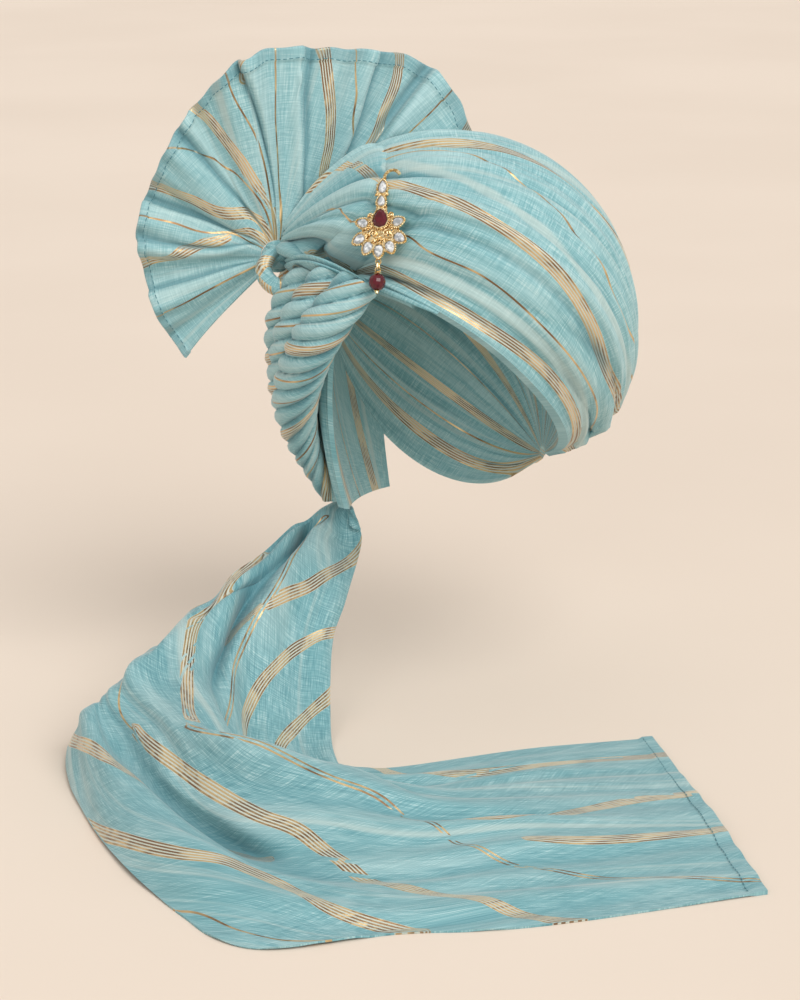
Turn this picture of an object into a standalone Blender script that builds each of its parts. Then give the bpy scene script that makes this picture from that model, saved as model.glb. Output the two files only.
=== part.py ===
"""A tied turban of long striped cloth, with a pleated fan, twisted side rolls, a trailing tail and a brooch.

Metres, +Z up. The wearer faces -Y and the wearer's right is at -X. The origin is the middle of the
head opening at the level of the brow, where a head carries the turban.
"""

import math

import bmesh
import bpy
import numpy as np
from mathutils import Matrix, Vector
from mathutils.bvhtree import BVHTree

# The head that the hollow is made for
HEAD_HALF_BREADTH = 0.080
HEAD_HALF_LENGTH = 0.099
HEAD_CROWN_HEIGHT = 0.082
HEAD_CENTRE_Y = 0.012
HEAD_NAPE_DEPTH = 0.130
HEAD_NAPE_TAPER = 0.20

# Cloth wound up on the head, beyond the hollow
WOUND_SIDE = 0.0395
WOUND_FRONT = 0.0335
WOUND_TOP = 0.0405
WOUND_LOW = 0.0030
CROWN_LEAN_X = 0.005
CROWN_RISE = 0.006
BROW_EDGE_SHARE = 0.30
BROW_EDGE_TURN = 26.0

# The two places where the wraps are gathered, and the lowest point of the brow edge at the front
KNOT_DIRECTION = (-0.943, 0.030, 0.330)
NAPE_DIRECTION = (0.520, 0.280, -0.807)
BROW_POINT = (0.035, -0.092, 0.004)
LAST_WRAP_END = 206.0

# Thicknesses and clearances
CLOTH = 0.0016
GAP = 0.0003
SIDE_WRAP_THICKNESS = 0.0085
SIDE_WRAP_FRONT = (46.0, 95.0)
SIDE_WRAP_BACK = (150.0, 150.0)
BROW_FOLD_HALF_HEIGHT = 0.0036
BROW_FOLD_ENDS = (84.0, 14.0)

# Twisted rolls
ROLL_RADIUS = 0.0148
ROLL_LOBES = 3
ROLL_LOBE_DEPTH = 0.11
ROLL_PITCH = 0.046
ROLL_SEAT = 0.0013
ROLL_BOTTOM_Z = -0.1250

# Knot where the wraps and the fan meet
KNOT_RADIUS = 0.0105

# Fan of pleated cloth
FAN_REACH = 0.155
FAN_RUFFLE = 0.0070
FAN_HEM_WIDTH = 0.0105
FAN_HEM_THICKNESS = 0.0030

# Tail of loose cloth: the drop from its root to the surface it lies on, and its reach towards the front
TAIL_DROP = 0.115
TAIL_REACH = 0.500
TAIL_ROOT = (-0.070, 0.058, -0.130)

# Brooch
STONE_GIRDLE = 0.0009
BEZEL_WALL = 0.0008
BEZEL_FLOOR = 0.0010
BEZEL_HEIGHT = 0.0030
DISC_RADIUS = 0.0100
BEAD_RADIUS = 0.0055
WIRE_RADIUS = 0.00055
LINK_LENGTH = 0.0046
BROOCH_TILT = 6.0
BROOCH_X = -0.0442
BROOCH_Z = 0.0886
BROOCH_FACING = 0.40

CROWN_CENTRE = Vector((CROWN_LEAN_X, HEAD_CENTRE_Y, CROWN_RISE))
CROWN_HALF = Vector((
    HEAD_HALF_BREADTH + WOUND_SIDE,
    HEAD_HALF_LENGTH + WOUND_FRONT,
    HEAD_CROWN_HEIGHT + WOUND_TOP,
))
CROWN_HALF_BELOW = HEAD_NAPE_DEPTH + WOUND_LOW
SURFACE_Z = TAIL_ROOT[2] - TAIL_DROP

CLOTH_BLUE = (0.30, 0.60, 0.66, 1.0)
GOLD = (0.83, 0.62, 0.29, 1.0)
CLEAR = (0.80, 0.82, 0.86, 1.0)
RUBY = (0.28, 0.005, 0.03, 1.0)


def clear_scene():
    for obj in list(bpy.data.objects):
        bpy.data.objects.remove(obj)


def material(name, colour, roughness, metallic=0.0):
    made = bpy.data.materials.new(name)
    made.use_nodes = True
    shader = made.node_tree.nodes["Principled BSDF"]
    shader.inputs["Base Color"].default_value = colour
    shader.inputs["Roughness"].default_value = roughness
    shader.inputs["Metallic"].default_value = metallic
    return made


def add_object(name, points, faces, finish, smooth=True):
    """One closed solid with its faces pointing out."""
    mesh = bpy.data.meshes.new(name)
    mesh.from_pydata([tuple(p) for p in points], [], [tuple(f) for f in faces])
    bm = bmesh.new()
    bm.from_mesh(mesh)
    bmesh.ops.recalc_face_normals(bm, faces=bm.faces)
    if bm.calc_volume(signed=True) < 0:
        bmesh.ops.reverse_faces(bm, faces=bm.faces)
    bm.to_mesh(mesh)
    bm.free()
    if smooth:
        mesh.shade_smooth()
        mesh.set_sharp_from_angle(angle=math.radians(50))
    obj = bpy.data.objects.new(name, mesh)
    obj.data.materials.append(finish)
    bpy.context.scene.collection.objects.link(obj)
    return obj


def shell_faces(rows, columns):
    """Faces of a closed wall between two grids of points, the second stored after the first."""
    back = rows * columns
    faces = []
    for i in range(rows - 1):
        for j in range(columns - 1):
            a, b = i * columns + j, (i + 1) * columns + j
            faces.append((a, b, b + 1, a + 1))
            faces.append((back + a + 1, back + b + 1, back + b, back + a))
    for j in range(columns - 1):
        top = (rows - 1) * columns
        faces.append((j + 1, back + j + 1, back + j, j))
        faces.append((top + j, back + top + j, back + top + j + 1, top + j + 1))
    for i in range(rows - 1):
        a, b = i * columns, (i + 1) * columns
        faces.append((a, back + a, back + b, b))
        faces.append((b + columns - 1, back + b + columns - 1, back + a + columns - 1, a + columns - 1))
    return faces


def shell(name, outer, inner, finish):
    """A closed wall between two grids of the same shape, each rows x columns x 3."""
    rows, columns = outer.shape[:2]
    points = np.concatenate([outer.reshape(-1, 3), inner.reshape(-1, 3)])
    return add_object(name, points, shell_faces(rows, columns), finish)


def grid_normals(grid):
    along = np.gradient(grid, axis=0)
    across = np.gradient(grid, axis=1)
    normals = np.cross(along, across)
    return normals / np.maximum(np.linalg.norm(normals, axis=2, keepdims=True), 1e-9)


def sheet(name, middle, thickness, finish):
    """A cloth wall with this middle surface; thickness is a number or one for each point."""
    half = np.asarray(thickness)[..., None] / 2 if np.ndim(thickness) else thickness / 2
    normals = grid_normals(middle)
    return shell(name, middle + normals * half, middle - normals * half, finish)


def tube_faces(rings, sides):
    faces = []
    for i in range(rings - 1):
        for j in range(sides):
            k = (j + 1) % sides
            faces.append((i * sides + j, (i + 1) * sides + j, (i + 1) * sides + k, i * sides + k))
    faces.append(tuple(range(sides)))
    faces.append(tuple(range((rings - 1) * sides, rings * sides))[::-1])
    return faces


def smooth_curve(knots, values, samples):
    """Values between the knots, on a smooth curve that passes through them."""
    knots, values = np.asarray(knots, float), np.asarray(values, float)
    slopes = np.gradient(values, knots, axis=0)
    i = np.clip(np.searchsorted(knots, samples, side="right") - 1, 0, len(knots) - 2)
    span = knots[i + 1] - knots[i]
    t = (samples - knots[i]) / span
    shape = (len(samples),) + (1,) * (values.ndim - 1)
    t, span = t.reshape(shape), span.reshape(shape)
    start, end = values[i], values[i + 1]
    return (
        start * (1 + 2 * t) * (1 - t) ** 2
        + slopes[i] * span * t * (1 - t) ** 2
        + end * t * t * (3 - 2 * t)
        + slopes[i + 1] * span * t * t * (t - 1)
    )


def ease(t):
    t = np.clip(t, 0.0, 1.0)
    return t * t * (3 - 2 * t)


def unit(v):
    return np.asarray(v, float) / np.linalg.norm(v)


def head_level(points):
    """Below 1 inside the head, 1 on it. Below the brow the head narrows towards the nape."""
    x, y, z = points[..., 0], points[..., 1] - HEAD_CENTRE_Y, points[..., 2]
    narrow = 1 - HEAD_NAPE_TAPER * np.clip(-z / HEAD_NAPE_DEPTH, 0, 1.2) ** 2
    return (
        (x / (HEAD_HALF_BREADTH * narrow)) ** 2
        + (y / (HEAD_HALF_LENGTH * narrow)) ** 2
        + (np.maximum(z, 0) / HEAD_CROWN_HEIGHT) ** 2
    )


def head_radius(angle, z):
    """Distance from the head's upright axis to its side at a height; the angle is from the front to the wearer's right."""
    narrow = 1 - HEAD_NAPE_TAPER * np.clip(-z / HEAD_NAPE_DEPTH, 0, 1.2) ** 2
    rounding = np.sqrt(np.maximum(1 - (np.maximum(z, 0) / HEAD_CROWN_HEIGHT) ** 2, 0.05))
    reach = np.hypot(np.sin(angle) / HEAD_HALF_BREADTH, np.cos(angle) / HEAD_HALF_LENGTH)
    return narrow * rounding / reach


def side_point(angle, z, outwards):
    """A point that far outside the head, at an angle from the front to the wearer's right."""
    r = head_radius(angle, z) + outwards
    return np.stack([-r * np.sin(angle), HEAD_CENTRE_Y - r * np.cos(angle), z + 0 * angle], axis=-1)


def crown_level(points):
    """Below 1 inside the smooth outside of the crown, 1 on it."""
    p = points - np.array(CROWN_CENTRE)
    half_z = np.where(p[..., 2] > 0, CROWN_HALF[2], CROWN_HALF_BELOW)
    return (p[..., 0] / CROWN_HALF[0]) ** 2 + (p[..., 1] / CROWN_HALF[1]) ** 2 + (p[..., 2] / half_z) ** 2


def crown_distance(start, direction):
    """Distance along a direction from a point inside to the smooth outside of the crown."""
    near = np.zeros(np.broadcast(start, direction).shape[:-1])
    far = near + 4 * max(CROWN_HALF)
    for _ in range(40):
        middle = (near + far) / 2
        inside = crown_level(start + direction * middle[..., None]) < 1
        near, far = np.where(inside, middle, near), np.where(inside, far, middle)
    return near


def on_crown(direction):
    centre, d = np.array(CROWN_CENTRE), unit(direction)
    return centre + d * crown_distance(centre, d)


KNOT = on_crown(KNOT_DIRECTION)
NAPE = on_crown(NAPE_DIRECTION)
AXIS = unit(NAPE - KNOT)
_to_brow = np.array(BROW_POINT) - KNOT
BROW_SIDE = unit(_to_brow - AXIS * (_to_brow @ AXIS))
TOP_SIDE = np.cross(BROW_SIDE, AXIS)
BROW_NORMAL = TOP_SIDE * math.copysign(1, TOP_SIDE[2])
_back = math.radians(LAST_WRAP_END)
_back_side = math.cos(_back) * BROW_SIDE + math.sin(_back) * TOP_SIDE
_back_across = np.cross(_back_side, AXIS)
BACK_NORMAL = _back_across * math.copysign(1, _back_across[2])
SETTLING_ROUNDS = 12


def outwards(angle):
    """Direction from the line knot-to-nape out to the wraps; 0 at the brow edge, 90 over the top."""
    return np.cos(angle)[..., None] * BROW_SIDE + np.sin(angle)[..., None] * TOP_SIDE


def head_distance(start, direction, least):
    """Distance along a direction to where it last leaves the head."""
    steps = np.linspace(0, 0.16, 321)
    points = start[..., None, :] + direction[..., None, :] * steps[:, None]
    inside = head_level(points) < 1
    last = inside.shape[-1] - 1 - np.argmax(inside[..., ::-1], axis=-1)
    found = np.where(inside.any(axis=-1), steps[last] + GAP, least)
    return np.maximum(found, least)


# One row for each turn of cloth over the crown: where it starts, and how far it stands out in the middle
WRAPS = (
    {"name": "wrap_brow", "start": 0.0, "bulge": 0.0012},
    {"name": "wrap_front_low", "start": 17.0, "bulge": 0.0028},
    {"name": "wrap_front_high", "start": 42.0, "bulge": 0.0030},
    {"name": "wrap_top_front", "start": 68.0, "bulge": 0.0034},
    {"name": "wrap_top_back", "start": 97.0, "bulge": 0.0034},
    {"name": "wrap_back_high", "start": 130.0, "bulge": 0.0030},
    {"name": "wrap_back_low", "start": 166.0, "bulge": 0.0028},
)
WRAP_CORE = 0.0045
WRAP_ENDS = (0.020, 0.985)


def crown_walls(angles, along):
    """The inner and outer walls of the crown on a grid of angles and shares of the way from knot to nape."""
    way = WRAP_ENDS[0] + (WRAP_ENDS[1] - WRAP_ENDS[0]) * (1 - np.cos(np.pi * along)) / 2
    start = KNOT + (NAPE - KNOT) * way[None, :, None] + 0 * angles[:, None, None]
    direction = outwards(angles)[:, None, :] + 0 * start
    inner = head_distance(start, direction, WRAP_CORE)
    full = crown_distance(start, direction)
    thin = BROW_EDGE_SHARE + (1 - BROW_EDGE_SHARE) * ease(np.degrees(angles) / BROW_EDGE_TURN)
    outer = inner + np.maximum((full - inner) * thin[:, None], 2 * CLOTH)
    return start, direction, inner, outer


def make_wraps(finish):
    """The crown: turns of cloth that fan out from the knot, cross the head and gather at the nape."""
    ends = [row["start"] for row in WRAPS[1:]] + [LAST_WRAP_END]
    made = []
    for row, end in zip(WRAPS, ends):
        share = np.linspace(0, 1, 5)
        angles = np.radians(row["start"] + (end - row["start"]) * share)
        start, direction, inner, outer = crown_walls(angles, np.linspace(0, 1, 17))
        bulge = row["bulge"] * np.sin(np.pi * share)[:, None] ** 0.7
        outer = outer + bulge * np.clip((outer - inner) / (4 * row["bulge"]), 0, 1)
        turn = np.cross(AXIS, outwards(angles))
        turn = turn * np.sign(turn @ (outwards(angles + 0.01) - outwards(angles)).T).diagonal()[:, None]
        inset = GAP / 2 * (1 - 2 * share)[:, None, None] * turn[:, None, :]
        made.append(shell(
            row["name"],
            start + direction * outer[..., None] + inset,
            start + direction * inner[..., None] + inset,
            finish,
        ))
    return made


def plane_z(normal, x, y, below=0.0):
    """Height of a plane through the knot and the nape, or of one that far below it."""
    foot = KNOT - normal * below
    return foot[2] - (normal[0] * (x - foot[0]) + normal[1] * (y - foot[1])) / normal[2]


def under_wraps_z(x, y, below=0.0):
    """Height under the brow edge in front and under the last wrap behind."""
    return np.minimum(plane_z(BROW_NORMAL, x, y, below), plane_z(BACK_NORMAL, x, y, below))


def make_side_wrap(finish):
    """The smooth turn that comes down over the wearer's right ear to the nape, under the rolls."""
    share = np.linspace(0, 1, 11)[:, None]
    down = np.linspace(0, 1, 9)[None, :]
    front = np.radians(SIDE_WRAP_FRONT[0] + (SIDE_WRAP_FRONT[1] - SIDE_WRAP_FRONT[0]) * down)
    back = np.radians(SIDE_WRAP_BACK[0] + (SIDE_WRAP_BACK[1] - SIDE_WRAP_BACK[0]) * down)
    angles = front + (back - front) * share
    walls = []
    for outward in (SIDE_WRAP_THICKNESS, GAP):
        z = np.zeros_like(angles)
        for _ in range(SETTLING_ROUNDS):
            p = side_point(angles, z, outward)
            top = under_wraps_z(p[..., 0], p[..., 1], GAP)
            z = top + (ROLL_BOTTOM_Z - top) * down
        walls.append(side_point(angles, z, outward))
    return shell("side_wrap", walls[0], walls[1], finish)


# One row for each roll: its angle round the head at the top and at the nape, and its size
ROLLS = (
    {"name": "roll_1", "top": 34.0, "foot": 112.0, "girth": 1.00, "turned": 0.0},
    {"name": "roll_2", "top": 50.0, "foot": 121.0, "girth": 0.97, "turned": 0.6},
    {"name": "roll_3", "top": 70.0, "foot": 131.0, "girth": 0.97, "turned": 1.1},
    {"name": "roll_4", "top": 90.0, "foot": 142.0, "girth": 0.90, "turned": 1.7},
)
ROLL_SIDES = 12
ROLL_RINGS = 20


def roll_line(row, share):
    """Centre and radius of a roll, from under the brow fold to the nape."""
    top, foot = math.radians(row["top"]), math.radians(row["foot"])
    angle = top + (foot - top) * share**1.15
    radius = ROLL_RADIUS * row["girth"] * (1.0 - 0.58 * ease((share - 0.42) / 0.58))
    radius = radius * (0.86 + 0.14 * ease(share / 0.25))
    outward = SIDE_WRAP_THICKNESS + ROLL_SEAT + radius * (1 + ROLL_LOBE_DEPTH)
    z = np.zeros_like(share)
    for _ in range(SETTLING_ROUNDS):
        p = side_point(angle, z, outward)
        top_z = plane_z(BROW_NORMAL, p[0, 0], p[0, 1])
        z = top_z + (ROLL_BOTTOM_Z - top_z) * share
    return side_point(angle, z, outward), radius


def ring_points(centres, radii, sides, lobes=0, depth=0.0, turns=None):
    """Rings of points round a line, lobed like a rope where lobes is over 0."""
    along = np.gradient(centres, axis=0)
    along = along / np.linalg.norm(along, axis=1, keepdims=True)
    side = np.cross(along, np.array([0.0, 0.0, 1.0]) + 0 * along)
    weak = np.linalg.norm(side, axis=1) < 0.05
    side[weak] = np.cross(along[weak], np.array([0.0, 1.0, 0.0]))
    side = side / np.linalg.norm(side, axis=1, keepdims=True)
    up = np.cross(side, along)
    phi = np.linspace(0, 2 * np.pi, sides, endpoint=False)
    turns = np.zeros(len(centres)) if turns is None else turns
    wave = 1 + depth * np.cos(lobes * (phi[None, :] - turns[:, None])) if lobes else 1 + 0 * phi[None, :]
    reach = np.asarray(radii)[:, None] * wave
    return (
        centres[:, None, :]
        + side[:, None, :] * (reach * np.cos(phi))[..., None]
        + up[:, None, :] * (reach * np.sin(phi))[..., None]
    )


def cut_beyond(obj, point, normal):
    """Cuts off what lies beyond a plane and closes the cut."""
    bm = bmesh.new()
    bm.from_mesh(obj.data)
    whole = bm.verts[:] + bm.edges[:] + bm.faces[:]
    cut = bmesh.ops.bisect_plane(
        bm, geom=whole, dist=1e-6, plane_co=Vector(point), plane_no=Vector(normal), clear_outer=True
    )
    rim = [e for e in cut["geom_cut"] if isinstance(e, bmesh.types.BMEdge)]
    bmesh.ops.contextual_create(bm, geom=rim)
    bmesh.ops.recalc_face_normals(bm, faces=bm.faces)
    bm.to_mesh(obj.data)
    bm.free()


def make_rolls(finish):
    """Four twisted rolls of cloth, side by side from the brow fold back and down to the nape."""
    below = 2 * BROW_FOLD_HALF_HEIGHT + 3 * GAP
    previous = None
    for row in ROLLS:
        share = np.linspace(0, 1, ROLL_RINGS)
        centres, radius = roll_line(row, share)
        centres[-1] = centres[-2] + (centres[-1] - centres[-2]) * 1.5
        length = np.concatenate([[0], np.cumsum(np.linalg.norm(np.diff(centres, axis=0), axis=1))])
        turns = row["turned"] - 2 * np.pi * length / ROLL_PITCH
        rings = ring_points(centres, radius, ROLL_SIDES, ROLL_LOBES, ROLL_LOBE_DEPTH, turns)
        roll = add_object(row["name"], rings.reshape(-1, 3), tube_faces(ROLL_RINGS, ROLL_SIDES), finish)
        if previous is not None:
            combine(roll, previous, "DIFFERENCE")
        round_about = ring_points(centres, radius * (1 + ROLL_LOBE_DEPTH) + 2 * GAP, ROLL_SIDES)
        previous = add_object("room", round_about.reshape(-1, 3), tube_faces(ROLL_RINGS, ROLL_SIDES), finish)
        cut_beyond(roll, KNOT - BROW_NORMAL * below, BROW_NORMAL)
        cut_beyond(roll, KNOT - BACK_NORMAL * GAP, BACK_NORMAL)
        cut_beyond(roll, (0, 0, ROLL_BOTTOM_Z), (0, 0, -1))
    bpy.data.objects.remove(previous)


def make_brow_fold(finish):
    """The narrow folded edge that runs from the knot over the heads of the rolls to the forehead."""
    share = np.linspace(0, 1, 20)
    angle = np.radians(BROW_FOLD_ENDS[0] + (BROW_FOLD_ENDS[1] - BROW_FOLD_ENDS[0]) * share)
    cover = ease((0.80 - share) / 0.45)
    half_width = 0.0035 + 0.0085 * cover
    half_height = BROW_FOLD_HALF_HEIGHT * (0.45 + 0.55 * cover)
    outward = GAP * 2 + half_width + (SIDE_WRAP_THICKNESS + 0.006) * cover
    z = np.zeros_like(share)
    for _ in range(SETTLING_ROUNDS):
        p = side_point(angle, z, outward)
        z = plane_z(BROW_NORMAL, p[:, 0], p[:, 1]) - (half_height + GAP) / BROW_NORMAL[2]
    centres = side_point(angle, z, outward)
    along = np.gradient(centres, axis=0)
    along = along / np.linalg.norm(along, axis=1, keepdims=True)
    wide = np.cross(along, BROW_NORMAL)
    wide = wide / np.linalg.norm(wide, axis=1, keepdims=True)
    phi = np.linspace(0, 2 * np.pi, 10, endpoint=False)
    rings = (
        centres[:, None, :]
        + wide[:, None, :] * (half_width[:, None] * np.cos(phi))[..., None]
        + BROW_NORMAL * (half_height[:, None] * np.sin(phi))[..., None]
    )
    return add_object("brow_fold", rings.reshape(-1, 3), tube_faces(20, 10), finish)


def make_knot(finish):
    """The round lump where all the wraps are gathered and the fan starts."""
    sides, steps = 12, 7
    pole = AXIS
    side = unit(np.cross(pole, (0, 1, 0)))
    other = np.cross(pole, side)
    phi = np.linspace(0, 2 * np.pi, sides, endpoint=False)
    points = [knot_centre() + pole * KNOT_RADIUS]
    for k in range(1, steps):
        lean = math.pi * k / steps
        ring = np.cos(phi)[:, None] * side + np.sin(phi)[:, None] * other
        points += list(knot_centre() + KNOT_RADIUS * (math.cos(lean) * pole + math.sin(lean) * ring))
    points.append(knot_centre() - pole * KNOT_RADIUS)
    faces = [(0, 1 + j, 1 + (j + 1) % sides) for j in range(sides)]
    for k in range(steps - 2):
        a, b = 1 + k * sides, 1 + (k + 1) * sides
        faces += [(a + j, b + j, b + (j + 1) % sides, a + (j + 1) % sides) for j in range(sides)]
    last = 1 + (steps - 2) * sides
    faces += [(last + j, len(points) - 1, last + (j + 1) % sides) for j in range(sides)]
    return add_object("knot", points, faces, finish)


def knot_centre():
    """The knot rests on the gathered ends of the wraps."""
    stand_off = math.sqrt((KNOT_RADIUS + GAP) ** 2 - WRAP_CORE**2)
    return KNOT + AXIS * (np.linalg.norm(NAPE - KNOT) * WRAP_ENDS[0] - stand_off)


# The fan's outline: angle from straight up towards the wearer's left, and reach as a share of the longest
FAN_OUTLINE = (
    (-138.0, 0.600), (-104.0, 0.575), (-74.0, 0.612), (-57.0, 0.622), (-41.0, 0.668), (-24.0, 0.748),
    (-7.0, 0.862), (12.0, 0.890), (28.0, 0.950), (41.0, 1.000), (50.0, 0.995), (61.0, 0.960),
)
FAN_PLEATS = 6
FAN_COLUMNS = 49
FAN_CLEAR = 0.007
FAN_LEAN = 0.080


def make_fan(finish):
    """The standing end of the cloth, pleated out from the knot and hemmed along its edge."""
    outline = np.array(FAN_OUTLINE)
    share = np.linspace(0, 1, FAN_COLUMNS)
    angle = outline[0, 0] + (outline[-1, 0] - outline[0, 0]) * share
    reach = FAN_REACH * smooth_curve(outline[:, 0], outline[:, 1], angle)
    start = KNOT_RADIUS + GAP
    hem = 1 - FAN_HEM_WIDTH / FAN_REACH
    out = np.array([0.0, 0.10, 0.32, 0.62, hem - 0.012, hem, 1.0])
    radius = start + (reach[:, None] - start) * out[None, :]
    turn = np.radians(angle)[:, None]
    centre = knot_centre()
    pleat = np.sin(2 * np.pi * FAN_PLEATS * share)[:, None]
    x = centre[0] + radius * np.sin(turn)
    z = centre[2] + radius * np.cos(turn)
    y = centre[1] + FAN_LEAN * ease((angle[:, None] + 10) / 67) * out + FAN_RUFFLE * pleat * out**0.8
    near = 1 - ((x - CROWN_CENTRE[0]) / (CROWN_HALF[0] + FAN_CLEAR)) ** 2
    near = near - ((z - CROWN_CENTRE[2]) / (CROWN_HALF[2] + FAN_CLEAR)) ** 2
    behind = CROWN_CENTRE[1] + (CROWN_HALF[1] + FAN_CLEAR) * np.sqrt(np.maximum(near, 0))
    y = np.maximum(y, np.where(near > 0, behind, y))
    thickness = np.full(x.shape, CLOTH)
    thickness[:, -2:] = FAN_HEM_THICKNESS
    return sheet("fan", np.stack([x, y, z], axis=-1), thickness, finish)


# The tail: one row for each station from its root to its hem. The inner and the outer edge are given by
# their x and y from the root in shares of the reach, and their height in shares of the drop; then come
# the place between the edges (0 inner, 1 outer) and the height, in shares of the drop, of four lines
TAIL_COLUMNS = (
    "inner_x", "inner_y", "inner_z", "outer_x", "outer_y", "outer_z",
    "valley_at", "valley_z", "crest_at", "crest_z", "channel_at", "channel_z", "ridge_at", "ridge_z",
)
TAIL_STATIONS = (
    (0.012, -0.050, 1.00, 0.006, 0.020, 1.00, 0.25, 1.00, 0.50, 1.00, 0.70, 1.00, 0.88, 1.00),
    (0.028, -0.040, 0.82, -0.072, -0.075, 0.93, 0.25, 0.82, 0.55, 0.87, 0.72, 0.90, 0.88, 0.93),
    (0.008, -0.146, 0.57, -0.136, -0.188, 0.80, 0.36, 0.70, 0.62, 0.80, 0.76, 0.81, 0.90, 0.81),
    (-0.010, -0.200, 0.36, -0.205, -0.290, 0.62, 0.40, 0.45, 0.66, 0.60, 0.78, 0.63, 0.90, 0.64),
    (-0.010, -0.330, 0.04, -0.280, -0.390, 0.44, 0.40, 0.18, 0.62, 0.36, 0.76, 0.44, 0.88, 0.50),
    (0.000, -0.415, 0.00, -0.334, -0.450, 0.02, 0.22, 0.03, 0.50, 0.14, 0.70, 0.16, 0.86, 0.34),
    (0.006, -0.428, 0.00, -0.300, -0.610, 0.00, 0.22, 0.05, 0.56, 0.40, 0.74, 0.14, 0.90, 0.22),
    (0.012, -0.432, 0.00, -0.205, -0.830, 0.00, 0.14, 0.06, 0.42, 0.38, 0.64, 0.08, 0.82, 0.18),
    (0.030, -0.438, 0.00, -0.090, -0.990, 0.00, 0.10, 0.06, 0.34, 0.32, 0.64, 0.07, 0.78, 0.11),
    (0.080, -0.436, 0.00, 0.070, -0.955, 0.00, 0.12, 0.03, 0.41, 0.22, 0.72, 0.06, 0.86, 0.07),
    (0.240, -0.372, 0.00, 0.230, -0.932, 0.00, 0.14, 0.02, 0.55, 0.12, 0.76, 0.03, 0.90, 0.04),
    (0.406, -0.330, 0.00, 0.494, -0.840, 0.00, 0.20, 0.01, 0.58, 0.03, 0.78, 0.01, 0.92, 0.01),
)
TAIL_STEPS = 33
TAIL_ACROSS = (0.0, 0.35, 1.0, 1.5, 2.0, 2.5, 3.0, 3.5, 4.0, 4.5, 5.0)
TAIL_HEM_ROWS = 2
TAIL_HEM_THICKNESS = 0.0026
TAIL_ROOT_THICKNESS = 0.0105


def make_tail(finish):
    """The loose end: it drops from the nape in two panels, turns on the surface and runs to its hem in soft ridges."""
    table = np.array(TAIL_STATIONS)
    samples = np.linspace(0, len(table) - 1, TAIL_STEPS)
    row = smooth_curve(np.arange(len(table)), table, samples)
    column = {name: row[:, k] for k, name in enumerate(TAIL_COLUMNS)}
    lines = ("inner", "valley", "crest", "channel", "ridge", "outer")
    rails = []
    for line in lines:
        at = {"inner": 0 * samples, "outer": 0 * samples + 1}.get(line, column.get(line + "_at"))
        x = column["inner_x"] + (column["outer_x"] - column["inner_x"]) * at
        y = column["inner_y"] + (column["outer_y"] - column["inner_y"]) * at
        rails.append(np.stack([
            TAIL_ROOT[0] + TAIL_REACH * x,
            TAIL_ROOT[1] + TAIL_REACH * y,
            SURFACE_Z + CLOTH / 2 + np.maximum(TAIL_DROP * column[line + "_z"], 0),
        ], axis=-1))
    middle = smooth_curve(np.arange(len(lines)), np.stack(rails), np.array(TAIL_ACROSS)).transpose(1, 0, 2)
    middle[..., 2] = np.maximum(middle[..., 2], SURFACE_Z + CLOTH / 2)
    thickness = np.full(middle.shape[:2], CLOTH)
    thickness[-TAIL_HEM_ROWS:] = TAIL_HEM_THICKNESS
    thickness[0], thickness[1] = TAIL_ROOT_THICKNESS, TAIL_ROOT_THICKNESS * 0.45
    tail = sheet("tail", middle, thickness, finish)
    flatten(tail, (0, 0, ROLL_BOTTOM_Z - GAP), (0, 0, 1))
    flatten(tail, (0, 0, SURFACE_Z), (0, 0, -1))
    return tail


def flatten(obj, point, normal):
    """Moves what lies beyond a plane back onto it."""
    for vertex in obj.data.vertices:
        beyond = (vertex.co - Vector(point)).dot(Vector(normal))
        if beyond > 0:
            vertex.co -= Vector(normal) * beyond


# Stones on the brooch: place in mm across and up from the main stone, size in mm, lean in degrees
BROOCH_STONES = (
    {"name": "stone_ruby", "across": 0.0, "up": 0.0, "wide": 9.2, "tall": 11.8, "lean": 0.0},
    {"name": "stone_neck_low", "across": 0.0, "up": 11.6, "wide": 4.6, "tall": 6.6, "lean": 0.0},
    {"name": "stone_neck_high", "across": 0.3, "up": 20.9, "wide": 5.0, "tall": 8.0, "lean": 0.0},
    {"name": "stone_side_right", "across": -11.8, "up": -2.6, "wide": 5.2, "tall": 7.0, "lean": 74.0},
    {"name": "stone_side_left", "across": 11.8, "up": -2.6, "wide": 5.2, "tall": 7.0, "lean": -74.0},
    {"name": "stone_petal_1", "across": -13.4, "up": -13.4, "wide": 5.6, "tall": 7.6, "lean": 122.0},
    {"name": "stone_petal_2", "across": -7.4, "up": -19.2, "wide": 5.6, "tall": 7.6, "lean": 152.0},
    {"name": "stone_petal_3", "across": 0.0, "up": -21.6, "wide": 5.6, "tall": 7.8, "lean": 180.0},
    {"name": "stone_petal_4", "across": 7.4, "up": -19.2, "wide": 5.6, "tall": 7.6, "lean": 208.0},
    {"name": "stone_petal_5", "across": 13.4, "up": -13.4, "wide": 5.6, "tall": 7.6, "lean": 238.0},
)
STONE_SIDES = 10
DISC_UP = -0.0085
NECK_TOP = 0.0272
HOOK_RADIUS = 0.0052
LOOP_RADIUS = 0.0017
LOOP_UP = -0.0283
BEAD_FLAT = 0.22
PIN_RADIUS = 0.0005
MM = 0.001


def drop_outline(row, margin, sides=STONE_SIDES):
    """A teardrop with its point upwards before it leans, with a margin all round."""
    phi = np.linspace(0, 2 * np.pi, sides, endpoint=False)
    half_wide, half_tall = row["wide"] * MM / 2 + margin, row["tall"] * MM / 2 + margin
    up = half_tall * np.cos(phi)
    across = half_wide * np.sin(phi) * (1 - 0.28 * np.cos(phi))
    lean = math.radians(row["lean"])
    x = row["across"] * MM + across * math.cos(lean) - up * math.sin(lean)
    y = row["up"] * MM + across * math.sin(lean) + up * math.cos(lean)
    return x, y


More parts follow.
